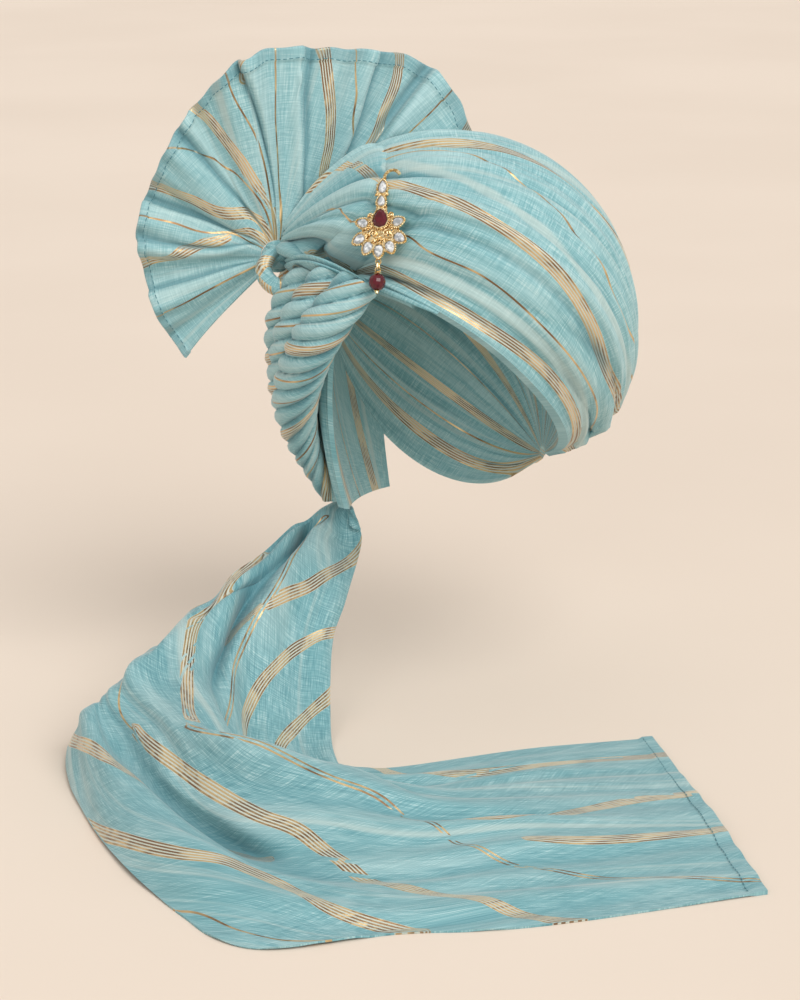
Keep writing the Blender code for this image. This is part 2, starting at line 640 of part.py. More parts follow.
def stack(name, levels, finish):
    """A closed solid of outlines one above the other, each given as x, y and height."""
    sides = len(levels[0][0])
    points = [(x, y, z) for xs, ys, z in levels for x, y in zip(xs, ys)]
    return add_object(name, points, tube_faces(len(levels), sides), finish)


def cut_stone(row, finish):
    """A cut stone with a table, crown facets, a girdle and a tapered back."""
    base = BEZEL_FLOOR + GAP
    tall = 0.36 * row["wide"] * MM
    return stack(row["name"], [
        (*drop_outline(row, -0.16 * row["wide"] * MM), base),
        (*drop_outline(row, 0.0), base + tall * 0.42),
        (*drop_outline(row, 0.0), base + tall * 0.42 + STONE_GIRDLE * 0.4),
        (*drop_outline(row, -0.21 * row["wide"] * MM), base + tall + STONE_GIRDLE * 0.4),
    ], finish)


def cup(row, finish):
    """A setting with a floor and a wall round the stone."""
    wide = row["wide"] / 9.2
    rim = BEZEL_FLOOR + BEZEL_HEIGHT * (0.35 + 0.35 * wide)
    return stack("setting", [
        (*drop_outline(row, GAP + BEZEL_WALL), 0.0001),
        (*drop_outline(row, GAP + BEZEL_WALL), rim),
        (*drop_outline(row, GAP), rim),
        (*drop_outline(row, GAP), BEZEL_FLOOR),
    ], finish)


def ring(name, centre, major, wire, finish, turn=0.0, start=0.0, end=360.0, steps=14, sides=6):
    """A round wire bent on a circle that faces up, or turned about its upright diameter."""
    whole = end - start >= 360
    theta = np.radians(np.linspace(start, end, steps, endpoint=not whole))
    phi = np.linspace(0, 2 * np.pi, sides, endpoint=False)
    reach = major + wire * np.cos(phi)[None, :]
    x = reach * np.sin(theta)[:, None]
    y = reach * np.cos(theta)[:, None]
    z = wire * np.sin(phi)[None, :] + 0 * x
    lean = math.radians(turn)
    points = np.stack([
        centre[0] + x * math.cos(lean) + z * math.sin(lean),
        centre[1] + y,
        centre[2] - x * math.sin(lean) + z * math.cos(lean),
    ], axis=-1).reshape(-1, 3)
    faces = tube_faces(steps, sides)
    if whole:
        faces = faces[:-2] + [
            ((steps - 1) * sides + j, j, (j + 1) % sides, (steps - 1) * sides + (j + 1) % sides)
            for j in range(sides)
        ]
    return add_object(name, points, faces, finish)


def round_solid(name, centre, profile, finish, sides=12):
    """A solid turned about the upright line through its centre; the profile is radius and height."""
    phi = np.linspace(0, 2 * np.pi, sides, endpoint=False)
    levels = []
    for radius, height in profile:
        levels.append(np.stack([
            centre[0] + radius * np.cos(phi),
            centre[1] + height + 0 * phi,
            centre[2] + radius * np.sin(phi),
        ], axis=-1))
    return add_object(name, np.concatenate(levels), tube_faces(len(levels), sides), finish)


def combine(target, other, operation):
    change = target.modifiers.new(operation.lower(), "BOOLEAN")
    change.object, change.operation, change.solver = other, operation, "EXACT"
    bpy.context.view_layer.update()
    settled = bpy.data.meshes.new_from_object(target.evaluated_get(bpy.context.evaluated_depsgraph_get()))
    target.modifiers.clear()
    target.data = settled
    bpy.data.objects.remove(other)


def make_brooch_frame(gold):
    """The gold body: a pierced disc with a neck, a hook, a loop below and a setting for each stone."""
    phi = np.linspace(0, 2 * np.pi, 24, endpoint=False)
    disc_x, disc_y = DISC_RADIUS * 1.25 * np.sin(phi), DISC_UP + DISC_RADIUS * 1.25 * np.cos(phi)
    body = stack("brooch", [(disc_x, disc_y, 0.0), (disc_x, disc_y, 0.0009)], gold)
    neck_x = np.array([-0.0042, 0.0042, 0.0026, 0.0020, -0.0014, -0.0026])
    neck_y = np.array([0.0020, 0.0020, 0.0170, NECK_TOP, NECK_TOP, 0.0170])
    combine(body, stack("neck", [(neck_x, neck_y, 0.00005), (neck_x, neck_y, 0.00093)], gold), "UNION")
    for row in BROOCH_STONES:
        combine(body, cup(row, gold), "UNION")
    hook_centre = (0.0009 + HOOK_RADIUS, NECK_TOP - 0.0002, 0.0012)
    combine(body, ring("hook", hook_centre, HOOK_RADIUS, 0.0011, gold, start=-92, end=68, steps=9), "UNION")
    combine(body, ring("loop", (0, LOOP_UP, 0.0012), LOOP_RADIUS, WIRE_RADIUS, gold), "UNION")
    for side in (-1, 1):
        for across, up in ((5.2, -10.4), (7.6, -7.2)):
            hole_x = side * across * MM + 0.0010 * np.sin(phi[::3])
            hole_y = up * MM + 0.0010 * np.cos(phi[::3])
            hole = stack("hole", [(hole_x, hole_y, -0.001), (hole_x, hole_y, 0.002)], gold)
            combine(body, hole, "DIFFERENCE")
    return body


def make_brooch(gold, clear, ruby, below):
    """The brooch, leaning on the front of the crown, with a bead that hangs from it."""
    hold = 2 * WIRE_RADIUS + GAP
    upright = [make_brooch_frame(gold)]
    for row in BROOCH_STONES:
        upright.append(cut_stone(row, ruby if row["name"] == "stone_ruby" else clear))
    link_up = LOOP_UP - LOOP_RADIUS - LINK_LENGTH / 2 + hold
    link = ring("drop_link", (0, link_up, 0.0012), LOOP_RADIUS, WIRE_RADIUS, gold, turn=90)
    for vertex in link.data.vertices:
        vertex.co.y += (LINK_LENGTH / 2 - LOOP_RADIUS) * math.copysign(1, vertex.co.y - link_up)
    cap_up = link_up - LINK_LENGTH / 2 - LOOP_RADIUS + hold
    bead_up = cap_up - LOOP_RADIUS - 0.0010 - BEAD_RADIUS
    cap = ring("drop_cap", (0, cap_up, 0.0012), LOOP_RADIUS, WIRE_RADIUS, gold)
    collar = (
        (0.0007, BEAD_RADIUS + 0.0016), (0.0016, BEAD_RADIUS + 0.0013), (0.0026, BEAD_RADIUS + 0.0003),
        (0.0022, BEAD_RADIUS - 0.0002),
    )
    collar = collar + ((0.0005, BEAD_RADIUS + GAP),)
    combine(cap, round_solid("collar", (0, bead_up, 0.0012), collar, gold), "UNION")
    lean = np.linspace(BEAD_FLAT, math.pi - BEAD_FLAT, 8)
    ball = [(BEAD_RADIUS * math.sin(t), BEAD_RADIUS * math.cos(t)) for t in lean]
    bead = round_solid("drop_bead", (0, bead_up, 0.0012), ball, ruby, sides=14)
    foot_profile = (
        (0.0004, -BEAD_RADIUS - 0.0022), (0.0012, -BEAD_RADIUS - 0.0016), (0.0011, -BEAD_RADIUS - 0.0008),
        (0.0018, -BEAD_RADIUS - 0.0002), (0.0006, -BEAD_RADIUS * math.cos(BEAD_FLAT) - GAP),
    )
    combine(cap, round_solid("foot", (0, bead_up, 0.0012), foot_profile, gold, sides=10), "UNION")
    pin = [(PIN_RADIUS, BEAD_RADIUS + 0.0005), (PIN_RADIUS, -BEAD_RADIUS - 0.0005)]
    combine(cap, round_solid("pin", (0, bead_up, 0.0012), pin, gold, sides=8), "UNION")
    drill = [(PIN_RADIUS + GAP, BEAD_RADIUS * 1.2), (PIN_RADIUS + GAP, -BEAD_RADIUS * 1.2)]
    combine(bead, round_solid("drill", (0, bead_up, 0.0012), drill, ruby, sides=8), "DIFFERENCE")
    place(upright + [link, cap, bead], below)


def edge_points(obj, count):
    """Points spread along every edge."""
    ends = [[obj.data.vertices[i].co for i in edge.vertices] for edge in obj.data.edges]
    return [a.lerp(b, k / count) for a, b in ends for k in range(count)]


def place(pieces, below):
    """Lays the pieces against the crown, a clearance off the highest of the wraps."""
    trees = [BVHTree.FromObject(obj, bpy.context.evaluated_depsgraph_get()) for obj in below]
    aside, rise = (BROOCH_X - CROWN_CENTRE.x) / CROWN_HALF.x, (BROOCH_Z - CROWN_CENTRE.z) / CROWN_HALF.z
    forward = math.sqrt(1 - aside**2 - rise**2)
    foot = Vector((BROOCH_X, CROWN_CENTRE.y - CROWN_HALF.y * forward, BROOCH_Z))
    away = Vector((aside / CROWN_HALF.x, -forward / CROWN_HALF.y, rise / CROWN_HALF.z)).normalized()
    away = away.lerp(Vector((0, -1, 0)), BROOCH_FACING).normalized()
    up = Vector((0, 0, 1))
    up = (up - away * up.dot(away)).normalized()
    up.rotate(Matrix.Rotation(math.radians(BROOCH_TILT), 3, away))
    across = up.cross(away)
    frame = Matrix((across, up, away)).transposed().to_4x4()
    frame.translation = foot + away * 0.02
    heights = []
    for piece in pieces:
        for point in edge_points(piece, 4):
            heights += [tree.ray_cast(frame @ point, -away)[3] for tree in trees]
    body = BVHTree.FromObject(pieces[0], bpy.context.evaluated_depsgraph_get())
    back = frame.inverted()
    for obj in below:
        for point in edge_points(obj, 40):
            heights.append(body.ray_cast(back @ point, Vector((0, 0, 1)))[3])
    least = min(height for height in heights if height is not None)
    frame.translation = frame.translation - away * (least - GAP)
    for piece in pieces:
        piece.data.transform(frame)
        piece.data.update()


def main():
    clear_scene()
    cloth = material("cloth", CLOTH_BLUE, 0.75)
    gold = material("gold", GOLD, 0.3, 1.0)
    clear = material("clear_stone", CLEAR, 0.05)
    ruby = material("ruby_stone", RUBY, 0.1)
    wraps = make_wraps(cloth)
    make_side_wrap(cloth)
    make_rolls(cloth)
    make_brow_fold(cloth)
    make_knot(cloth)
    make_fan(cloth)
    make_tail(cloth)
    make_brooch(gold, clear, ruby, wraps)


main()
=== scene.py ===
"""The looks of a tied turban: striped slub cloth, a pleated fan, twisted rolls, a trailing tail and a brooch.

Metres, +Z up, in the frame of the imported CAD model. The wearer faces -Y and the wearer's right is at -X.
"""

import math

import bpy
import numpy as np
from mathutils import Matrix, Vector


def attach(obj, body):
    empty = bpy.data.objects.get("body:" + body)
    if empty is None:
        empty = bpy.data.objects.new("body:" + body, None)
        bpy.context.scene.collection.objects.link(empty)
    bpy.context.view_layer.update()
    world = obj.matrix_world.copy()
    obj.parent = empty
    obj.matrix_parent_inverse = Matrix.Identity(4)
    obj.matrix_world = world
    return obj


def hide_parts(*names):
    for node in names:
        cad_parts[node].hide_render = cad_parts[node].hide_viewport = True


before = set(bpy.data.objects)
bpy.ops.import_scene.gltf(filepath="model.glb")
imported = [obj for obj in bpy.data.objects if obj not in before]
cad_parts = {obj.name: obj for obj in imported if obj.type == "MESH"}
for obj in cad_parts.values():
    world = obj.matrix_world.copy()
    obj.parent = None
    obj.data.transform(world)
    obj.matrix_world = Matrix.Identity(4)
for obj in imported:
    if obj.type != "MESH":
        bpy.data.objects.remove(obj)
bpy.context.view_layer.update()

SEED = 20261

# The head and the cloth wound on it, as in the CAD part
HEAD_HALF_BREADTH = 0.080
HEAD_HALF_LENGTH = 0.099
HEAD_CROWN_HEIGHT = 0.082
HEAD_CENTRE_Y = 0.012
HEAD_NAPE_DEPTH = 0.130
HEAD_NAPE_TAPER = 0.20
CROWN_CENTRE = np.array([0.005, 0.012, 0.006])
CROWN_HALF = np.array([0.1195, 0.1325, 0.1225])
CROWN_HALF_BELOW = 0.133
BROW_EDGE_SHARE = 0.30
BROW_EDGE_TURN = 26.0
KNOT_DIRECTION = (-0.943, 0.030, 0.330)
NAPE_DIRECTION = (0.520, 0.280, -0.807)
BROW_POINT = (0.035, -0.092, 0.004)
LAST_WRAP_END = 206.0
WRAP_CORE = 0.0045
WRAP_ENDS = (0.020, 0.985)
CLOTH = 0.0016
GAP = 0.0003
SIDE_WRAP_THICKNESS = 0.0085
ROLL_BOTTOM_Z = -0.1250
KNOT_RADIUS = 0.0105
SURFACE_Z = -0.245

# The camera: where it stands, what it looks at, and its upright field of view
CAMERA_PLACE = (-0.031, -1.8353, 0.3778)
CAMERA_AIM = (-0.031, 0.0, -0.114)
CAMERA_FIELD = 20.0
SENSOR = 36.0

# Stripe kinds, as they are stored on the cloth
THIN, MULTI, PALE, DOUBLE = 0.0, 1.0, 2.0, 3.0
FAR = 0.05
# From this far off, in metres, a stripe's two sides are no longer told apart
STRIPE_END_MARGIN = 0.0043
# How many times a stripe's scale is evened over its neighbours
STRIPE_EVENING = 20


# Meshes

def ease(t):
    t = np.clip(t, 0.0, 1.0)
    return t * t * (3 - 2 * t)


def unit(v):
    return np.asarray(v, float) / np.linalg.norm(v)


def smooth_curve(knots, values, samples):
    """Values between the knots, on a smooth curve that passes through them."""
    knots, values = np.asarray(knots, float), np.asarray(values, float)
    samples = np.asarray(samples, float)
    slopes = np.gradient(values, knots, axis=0)
    i = np.clip(np.searchsorted(knots, samples, side="right") - 1, 0, len(knots) - 2)
    span = knots[i + 1] - knots[i]
    t = (samples - knots[i]) / span
    shape = (len(samples),) + (1,) * (values.ndim - 1)
    t, span = t.reshape(shape), span.reshape(shape)
    return (
        values[i] * (1 + 2 * t) * (1 - t) ** 2
        + slopes[i] * span * t * (1 - t) ** 2
        + values[i + 1] * t * t * (3 - 2 * t)
        + slopes[i + 1] * span * t * t * (t - 1)
    )


WAVES_PER_ROW = 4


def ripples(u, v, waves, seed):
    """A smooth uneven field of about -1 to 1.

    The waves are rows of cycles per metre across, cycles per metre along, and weight.
    """
    rng = np.random.default_rng(seed)
    total = 0.0
    weight_sum = 0.0
    for across, along, weight in waves:
        for _ in range(WAVES_PER_ROW):
            a, b = across * rng.uniform(0.6, 1.5), along * rng.uniform(-1.3, 1.3)
            total = total + weight * np.sin(2 * np.pi * (a * u + b * v + rng.uniform()))
            weight_sum += weight * 0.5
    return total / weight_sum


def grid_normals(grid):
    normals = np.cross(np.gradient(grid, axis=0), np.gradient(grid, axis=1))
    return normals / np.maximum(np.linalg.norm(normals, axis=2, keepdims=True), 1e-12)


def signed_volume(points, quads):
    a, b, c, d = (points[quads[:, k]] for k in range(4))
    return np.einsum("ij,ij->i", a, np.cross(b, c)).sum() + np.einsum("ij,ij->i", a, np.cross(c, d)).sum()


def add_mesh(name, points, quads, corner_maps, finish, caps=()):
    """A smooth closed mesh; corner_maps holds a value pair for each corner of each quad, by map name."""
    if signed_volume(points, quads) < 0:
        quads = quads[:, ::-1]
        corner_maps = {key: value[:, ::-1] for key, value in corner_maps.items()}
        caps = [cap[::-1] for cap in caps]
    mesh = bpy.data.meshes.new(name)
    mesh.from_pydata(points.tolist(), [], quads.tolist() + [list(cap) for cap in caps])
    extra = sum(len(cap) for cap in caps)
    for key, value in corner_maps.items():
        layer = mesh.uv_layers.new(name=key)
        flat = np.concatenate([value.reshape(-1, 2), np.tile(value[0, 0], (extra, 1))])
        layer.uv.foreach_set("vector", flat.astype(np.float32).ravel())
    mesh.shade_smooth()
    mesh.set_sharp_from_angle(angle=math.radians(60))
    mesh.materials.append(finish)
    obj = bpy.data.objects.new(name, mesh)
    bpy.context.scene.collection.objects.link(obj)
    return obj


def wall_quads(rows, columns):
    """Quads of a closed wall between two grids of points, the second stored after the first."""
    back = rows * columns
    i, j = np.meshgrid(np.arange(rows - 1), np.arange(columns - 1), indexing="ij")
    a, b = (i * columns + j).ravel(), ((i + 1) * columns + j).ravel()
    front_side = np.stack([a, b, b + 1, a + 1], axis=1)
    back_side = back + front_side[:, ::-1]
    j = np.arange(columns - 1)
    top = (rows - 1) * columns
    rims = [
        np.stack([j + 1, back + j + 1, back + j, j], axis=1),
        np.stack([top + j, back + top + j, back + top + j + 1, top + j + 1], axis=1),
    ]
    i = np.arange(rows - 1)
    a, b, last = i * columns, (i + 1) * columns, columns - 1
    rims += [
        np.stack([a, back + a, back + b, b], axis=1),
        np.stack([b + last, back + b + last, back + a + last, a + last], axis=1),
    ]
    return np.concatenate([front_side, back_side, *rims])


def corner_stripes(distances, kinds):
    """For each quad the stripe nearest its middle: the corners' distances from it, and its kind."""
    nearest = np.abs(distances.mean(axis=2)).argmin(axis=0)
    picked = distances[nearest, np.arange(len(nearest))]
    past_end = np.abs(picked).min(axis=1) > STRIPE_END_MARGIN
    picked = np.where(past_end[:, None], np.abs(picked), picked)
    return pair(picked, np.asarray(kinds)[nearest][:, None])


def wall(name, outer, inner, weave, stripes, finish, relief=0.0):
    """A closed cloth wall between two grids of points.

    The weave is a grid of metres across and along, and relief is -1 in a valley and 1 on a ridge; the cloth's
    finish paints shade into the valleys and highlight onto the ridges from it.
    """
    rows, columns = outer.shape[:2]
    points = np.concatenate([outer.reshape(-1, 3), inner.reshape(-1, 3)])
    quads = wall_quads(rows, columns)
    height = pair(np.clip(relief, -1, 1) + np.zeros((rows, columns)), 0.0)
    corners = {"weave": np.tile(weave.reshape(-1, 2), (2, 1))[quads]}
    corners["relief"] = np.tile(height.reshape(-1, 2), (2, 1))[quads]
    if stripes is not None:
        distances, kinds = stripes
        both = np.tile(distances.reshape(len(kinds), -1), (1, 2))
        corners["stripe"] = corner_stripes(both[:, quads], kinds)
    return add_mesh(name, points, quads, corners, finish)


def sheet_wall(name, middle, thickness, weave, stripes, finish, relief=0.0):
    half = np.broadcast_to(np.asarray(thickness), middle.shape[:2])[..., None] / 2
    normals = grid_normals(middle)
    return wall(name, middle + normals * half, middle - normals * half, weave, stripes, finish, relief)


def tube(name, rings, weave, stripes, finish, relief=0.0):
    """A closed tube through rings of points; its maps have one more column than the rings have points."""
    count, sides = rings.shape[:2]
    i, j = np.meshgrid(np.arange(count - 1), np.arange(sides), indexing="ij")
    i, j = i.ravel(), j.ravel()
    k = (j + 1) % sides
    quads = np.stack([i * sides + j, (i + 1) * sides + j, (i + 1) * sides + k, i * sides + k], axis=1)

    def at_corners(grid):
        return np.stack([grid[i, j], grid[i + 1, j], grid[i + 1, j + 1], grid[i, j + 1]], axis=1)

    height = pair(np.clip(relief, -1, 1) + np.zeros((count, sides + 1)), 0.0)
    corners = {"weave": at_corners(weave), "relief": at_corners(height)}
    if stripes is not None:
        distances, kinds = stripes
        corners["stripe"] = corner_stripes(np.stack([at_corners(grid) for grid in distances]), kinds)
    caps = [list(range(sides)), list(range((count - 1) * sides, count * sides))[::-1]]
    return add_mesh(name, rings.reshape(-1, 3), quads, corners, finish, caps)


def pair(u, v):
    return np.stack(np.broadcast_arrays(u, v), axis=-1).astype(float)


class Surface:
    """A grid of points with the lengths and slopes that are needed to measure on it."""

    def __init__(self, points):
        self.a, self.b = np.gradient(points, axis=0), np.gradient(points, axis=1)
        self.aa = (self.a**2).sum(axis=2) + 1e-14
        self.bb = (self.b**2).sum(axis=2) + 1e-14
        self.ab = (self.a * self.b).sum(axis=2)
        self.area = np.maximum(self.aa * self.bb - self.ab**2, 1e-20)

    def gradient(self, field):
        """The field's rise for each metre on the surface, as a vector."""
        i, j = np.gradient(field, axis=0), np.gradient(field, axis=1)
        on_a, on_b = (self.bb * i - self.ab * j) / self.area, (self.aa * j - self.ab * i) / self.area
        return self.a * on_a[..., None] + self.b * on_b[..., None]

    def metres(self, field):
        """How far each point is, on the surface, from where the field is 0."""
        return field / np.maximum(np.linalg.norm(self.gradient(field), axis=2), 1e-9)


def evened(grid, passes):
    """A grid with its sudden changes spread over its neighbours."""
    for _ in range(passes):
        for axis in (0, 1):
            padded = np.concatenate([grid.take([0], axis), grid, grid.take([-1], axis)], axis)
            count = grid.shape[axis]
            before, after = padded.take(range(count), axis), padded.take(range(2, count + 2), axis)
            grid = (before + 2 * grid + after) / 4
    return grid


def line_offset(across, along, where, there):
    """How far across each point is from a line, and how far along it is beyond the line's ends."""
    if len(where) < 2:
        return across - there[0], 0 * across
    line = smooth_curve(where, there, np.clip(along, min(where), max(where)).ravel()).reshape(along.shape)
    return across - line, np.maximum(np.maximum(min(where) - along, along - max(where)), 0)


def stripe_map(points, across, along, stripes):
    """For each stripe, how far each point lies from its middle; and the stripes' kinds.

    A stripe is its kind, the values of along that it runs through and the values of across there.
    """
    surface = Surface(points)
    per_along = np.maximum(np.linalg.norm(surface.gradient(along), axis=2), 1e-9)
    distances, kinds = [], []
    for kind, where, there in stripes:
        offset, beyond = line_offset(across, along, where, there)
        slope = np.log(np.maximum(np.linalg.norm(surface.gradient(offset), axis=2), 1e-9))
        away = offset / np.exp(evened(slope, STRIPE_EVENING))
        distances.append(np.copysign(np.hypot(away, beyond / per_along), away))
        kinds.append(kind)
    return np.stack(distances), kinds


def plain(shape):
    """The stripes of a cloth that shows none."""
    return np.full((1, *shape), FAR), [THIN]


FOLD_SOFTENING = 3
# Folds of a size up to the first share stay sharp, and get softer over the second
FOLD_SHARP_SIZE = 0.12
FOLD_SOFTER_OVER = 0.10
# The sides that the folds rise on
FAN_FACING = np.array([0.0, -1.0, 0.0])
TAIL_FACING = np.array([-0.2, -0.6, 0.8])


def fold_over(points, across, along, folds, facing, size=1.0):
    """Folds of a sheet that lean over one side of a line, and how far they stand out or lie back.

    A fold is its lean (1 towards more across, -1 towards less), the values of along that it runs
    through, the values of across there, and its overlap, its rise, the depth beyond it and its width.
    The size scales all of these from place to place, and facing is the side that the folds rise on.
    """
    relief = 0 * across
    for fold in folds:
        surface = Surface(points)
        normals = grid_normals(points)
        normals = normals * np.sign((normals * facing).sum(axis=2, keepdims=True) + 1e-9)
        offset, _ = line_offset(across, along, fold["where"], fold["there"])
        away = surface.metres(offset) * fold["lean"]
        lean = surface.gradient(offset) * fold["lean"]
        lean = lean / np.maximum(np.linalg.norm(lean, axis=2, keepdims=True), 1e-9)
        start, end = min(fold["where"]), max(fold["where"])
        run = ease((along - start) / fold["fade"]) * ease((end - along) / fold["fade"])
        wide = fold["wide"] * size
        ridge = np.exp(-(((away + wide) / wide) ** 2)) * run
        ditch = np.exp(-(((away - 0.4 * wide) / (0.8 * wide)) ** 2)) * run
        points = points + lean * (fold["lap"] * size * ridge)[..., None]
        points = points + normals * (size * (fold["rise"] * ridge - fold["deep"] * ditch))[..., None]
        # Relief for painted highlight on the ridge and painted shade in the ditch beyond it.
        relief = relief + 0.7 * ridge - 1.1 * ditch
    soft = ease((size - FOLD_SHARP_SIZE) / FOLD_SOFTER_OVER) + 0 * across
    return points + (evened(points, FOLD_SOFTENING) - points) * soft[..., None], relief


# Materials

class Nodes:
    """Short calls for building a node material."""

    def __init__(self, name):
        self.material = bpy.data.materials.new(name)
        self.material.use_nodes = True
        self.tree = self.material.node_tree
        self.shader = self.tree.nodes["Principled BSDF"]

    def new(self, kind, **settings):
        node = self.tree.nodes.new(kind)
        for key, value in settings.items():
            setattr(node, key, value)
        return node

    def feed(self, socket, value):
        if isinstance(value, bpy.types.NodeSocket):
            self.tree.links.new(value, socket)
        else:
            socket.default_value = value

    def math(self, operation, *values):
        node = self.new("ShaderNodeMath", operation=operation)
        for socket, value in zip(node.inputs, values):
            self.feed(socket, value)
        return node.outputs[0]

    def times(self, first, second):
        return self.math("MULTIPLY", first, second)

    def ramp(self, value, low, high):
        """0 up to low, 1 from high on, and smooth between."""
        node = self.new("ShaderNodeMapRange", interpolation_type="SMOOTHSTEP", clamp=True)
        for socket, given in zip(node.inputs[:5], (value, low, high, 0.0, 1.0)):
            self.feed(socket, given)
        return node.outputs[0]

    def mix(self, share, first, second):
        node = self.new("ShaderNodeMix", data_type="RGBA")
        self.feed(node.inputs[0], share)
        self.feed(node.inputs[6], first)
        self.feed(node.inputs[7], second)
        return node.outputs[2]

    def noise(self, vector, scale, stretch=(1, 1, 1), detail=2.0, roughness=0.5):
        mapping = self.new("ShaderNodeMapping")
        self.feed(mapping.inputs["Vector"], vector)
        self.feed(mapping.inputs["Scale"], stretch)
        node = self.new("ShaderNodeTexNoise")
        self.feed(node.inputs["Vector"], mapping.outputs[0])
        self.feed(node.inputs["Scale"], scale)
        self.feed(node.inputs["Detail"], detail)
        self.feed(node.inputs["Roughness"], roughness)
        return node.outputs[0]

    def uv(self, name):
        return self.new("ShaderNodeUVMap", uv_map=name).outputs[0]

    def place(self):
        return self.new("ShaderNodeTexCoord").outputs["Object"]

    def bump(self, height, strength, distance):
        node = self.new("ShaderNodeBump")
        self.feed(node.inputs["Height"], height)
        self.feed(node.inputs["Strength"], strength)
        self.feed(node.inputs["Distance"], distance)
        self.feed(self.shader.inputs["Normal"], node.outputs[0])

    def set(self, **values):
        for key, value in values.items():
            self.feed(self.shader.inputs[key.replace("_", " ")], value)


AQUA = (0.275, 0.505, 0.540, 1)
AQUA_DEEP = (0.150, 0.360, 0.400, 1)
AQUA_PALE = (0.570, 0.730, 0.725, 1)
# Painted shade: fold valleys, and the darker copy of the cloth that lies on the surface, are darkened towards
# this colour.
AQUA_PAINTED_SHADE = (0.060, 0.200, 0.245, 1)
GREY_BAND = (0.540, 0.620, 0.580, 1)
CREAM = (0.700, 0.660, 0.530, 1)
GOLD_BRIGHT = (0.680, 0.490, 0.250, 1)
GOLD_BROWN = (0.230, 0.135, 0.065, 1)
MULTI_HALF_WIDTH = 0.0042
MULTI_PITCH = 0.00175
THIN_HALF_WIDTH = 0.00062
KIND_MARGIN = 0.3


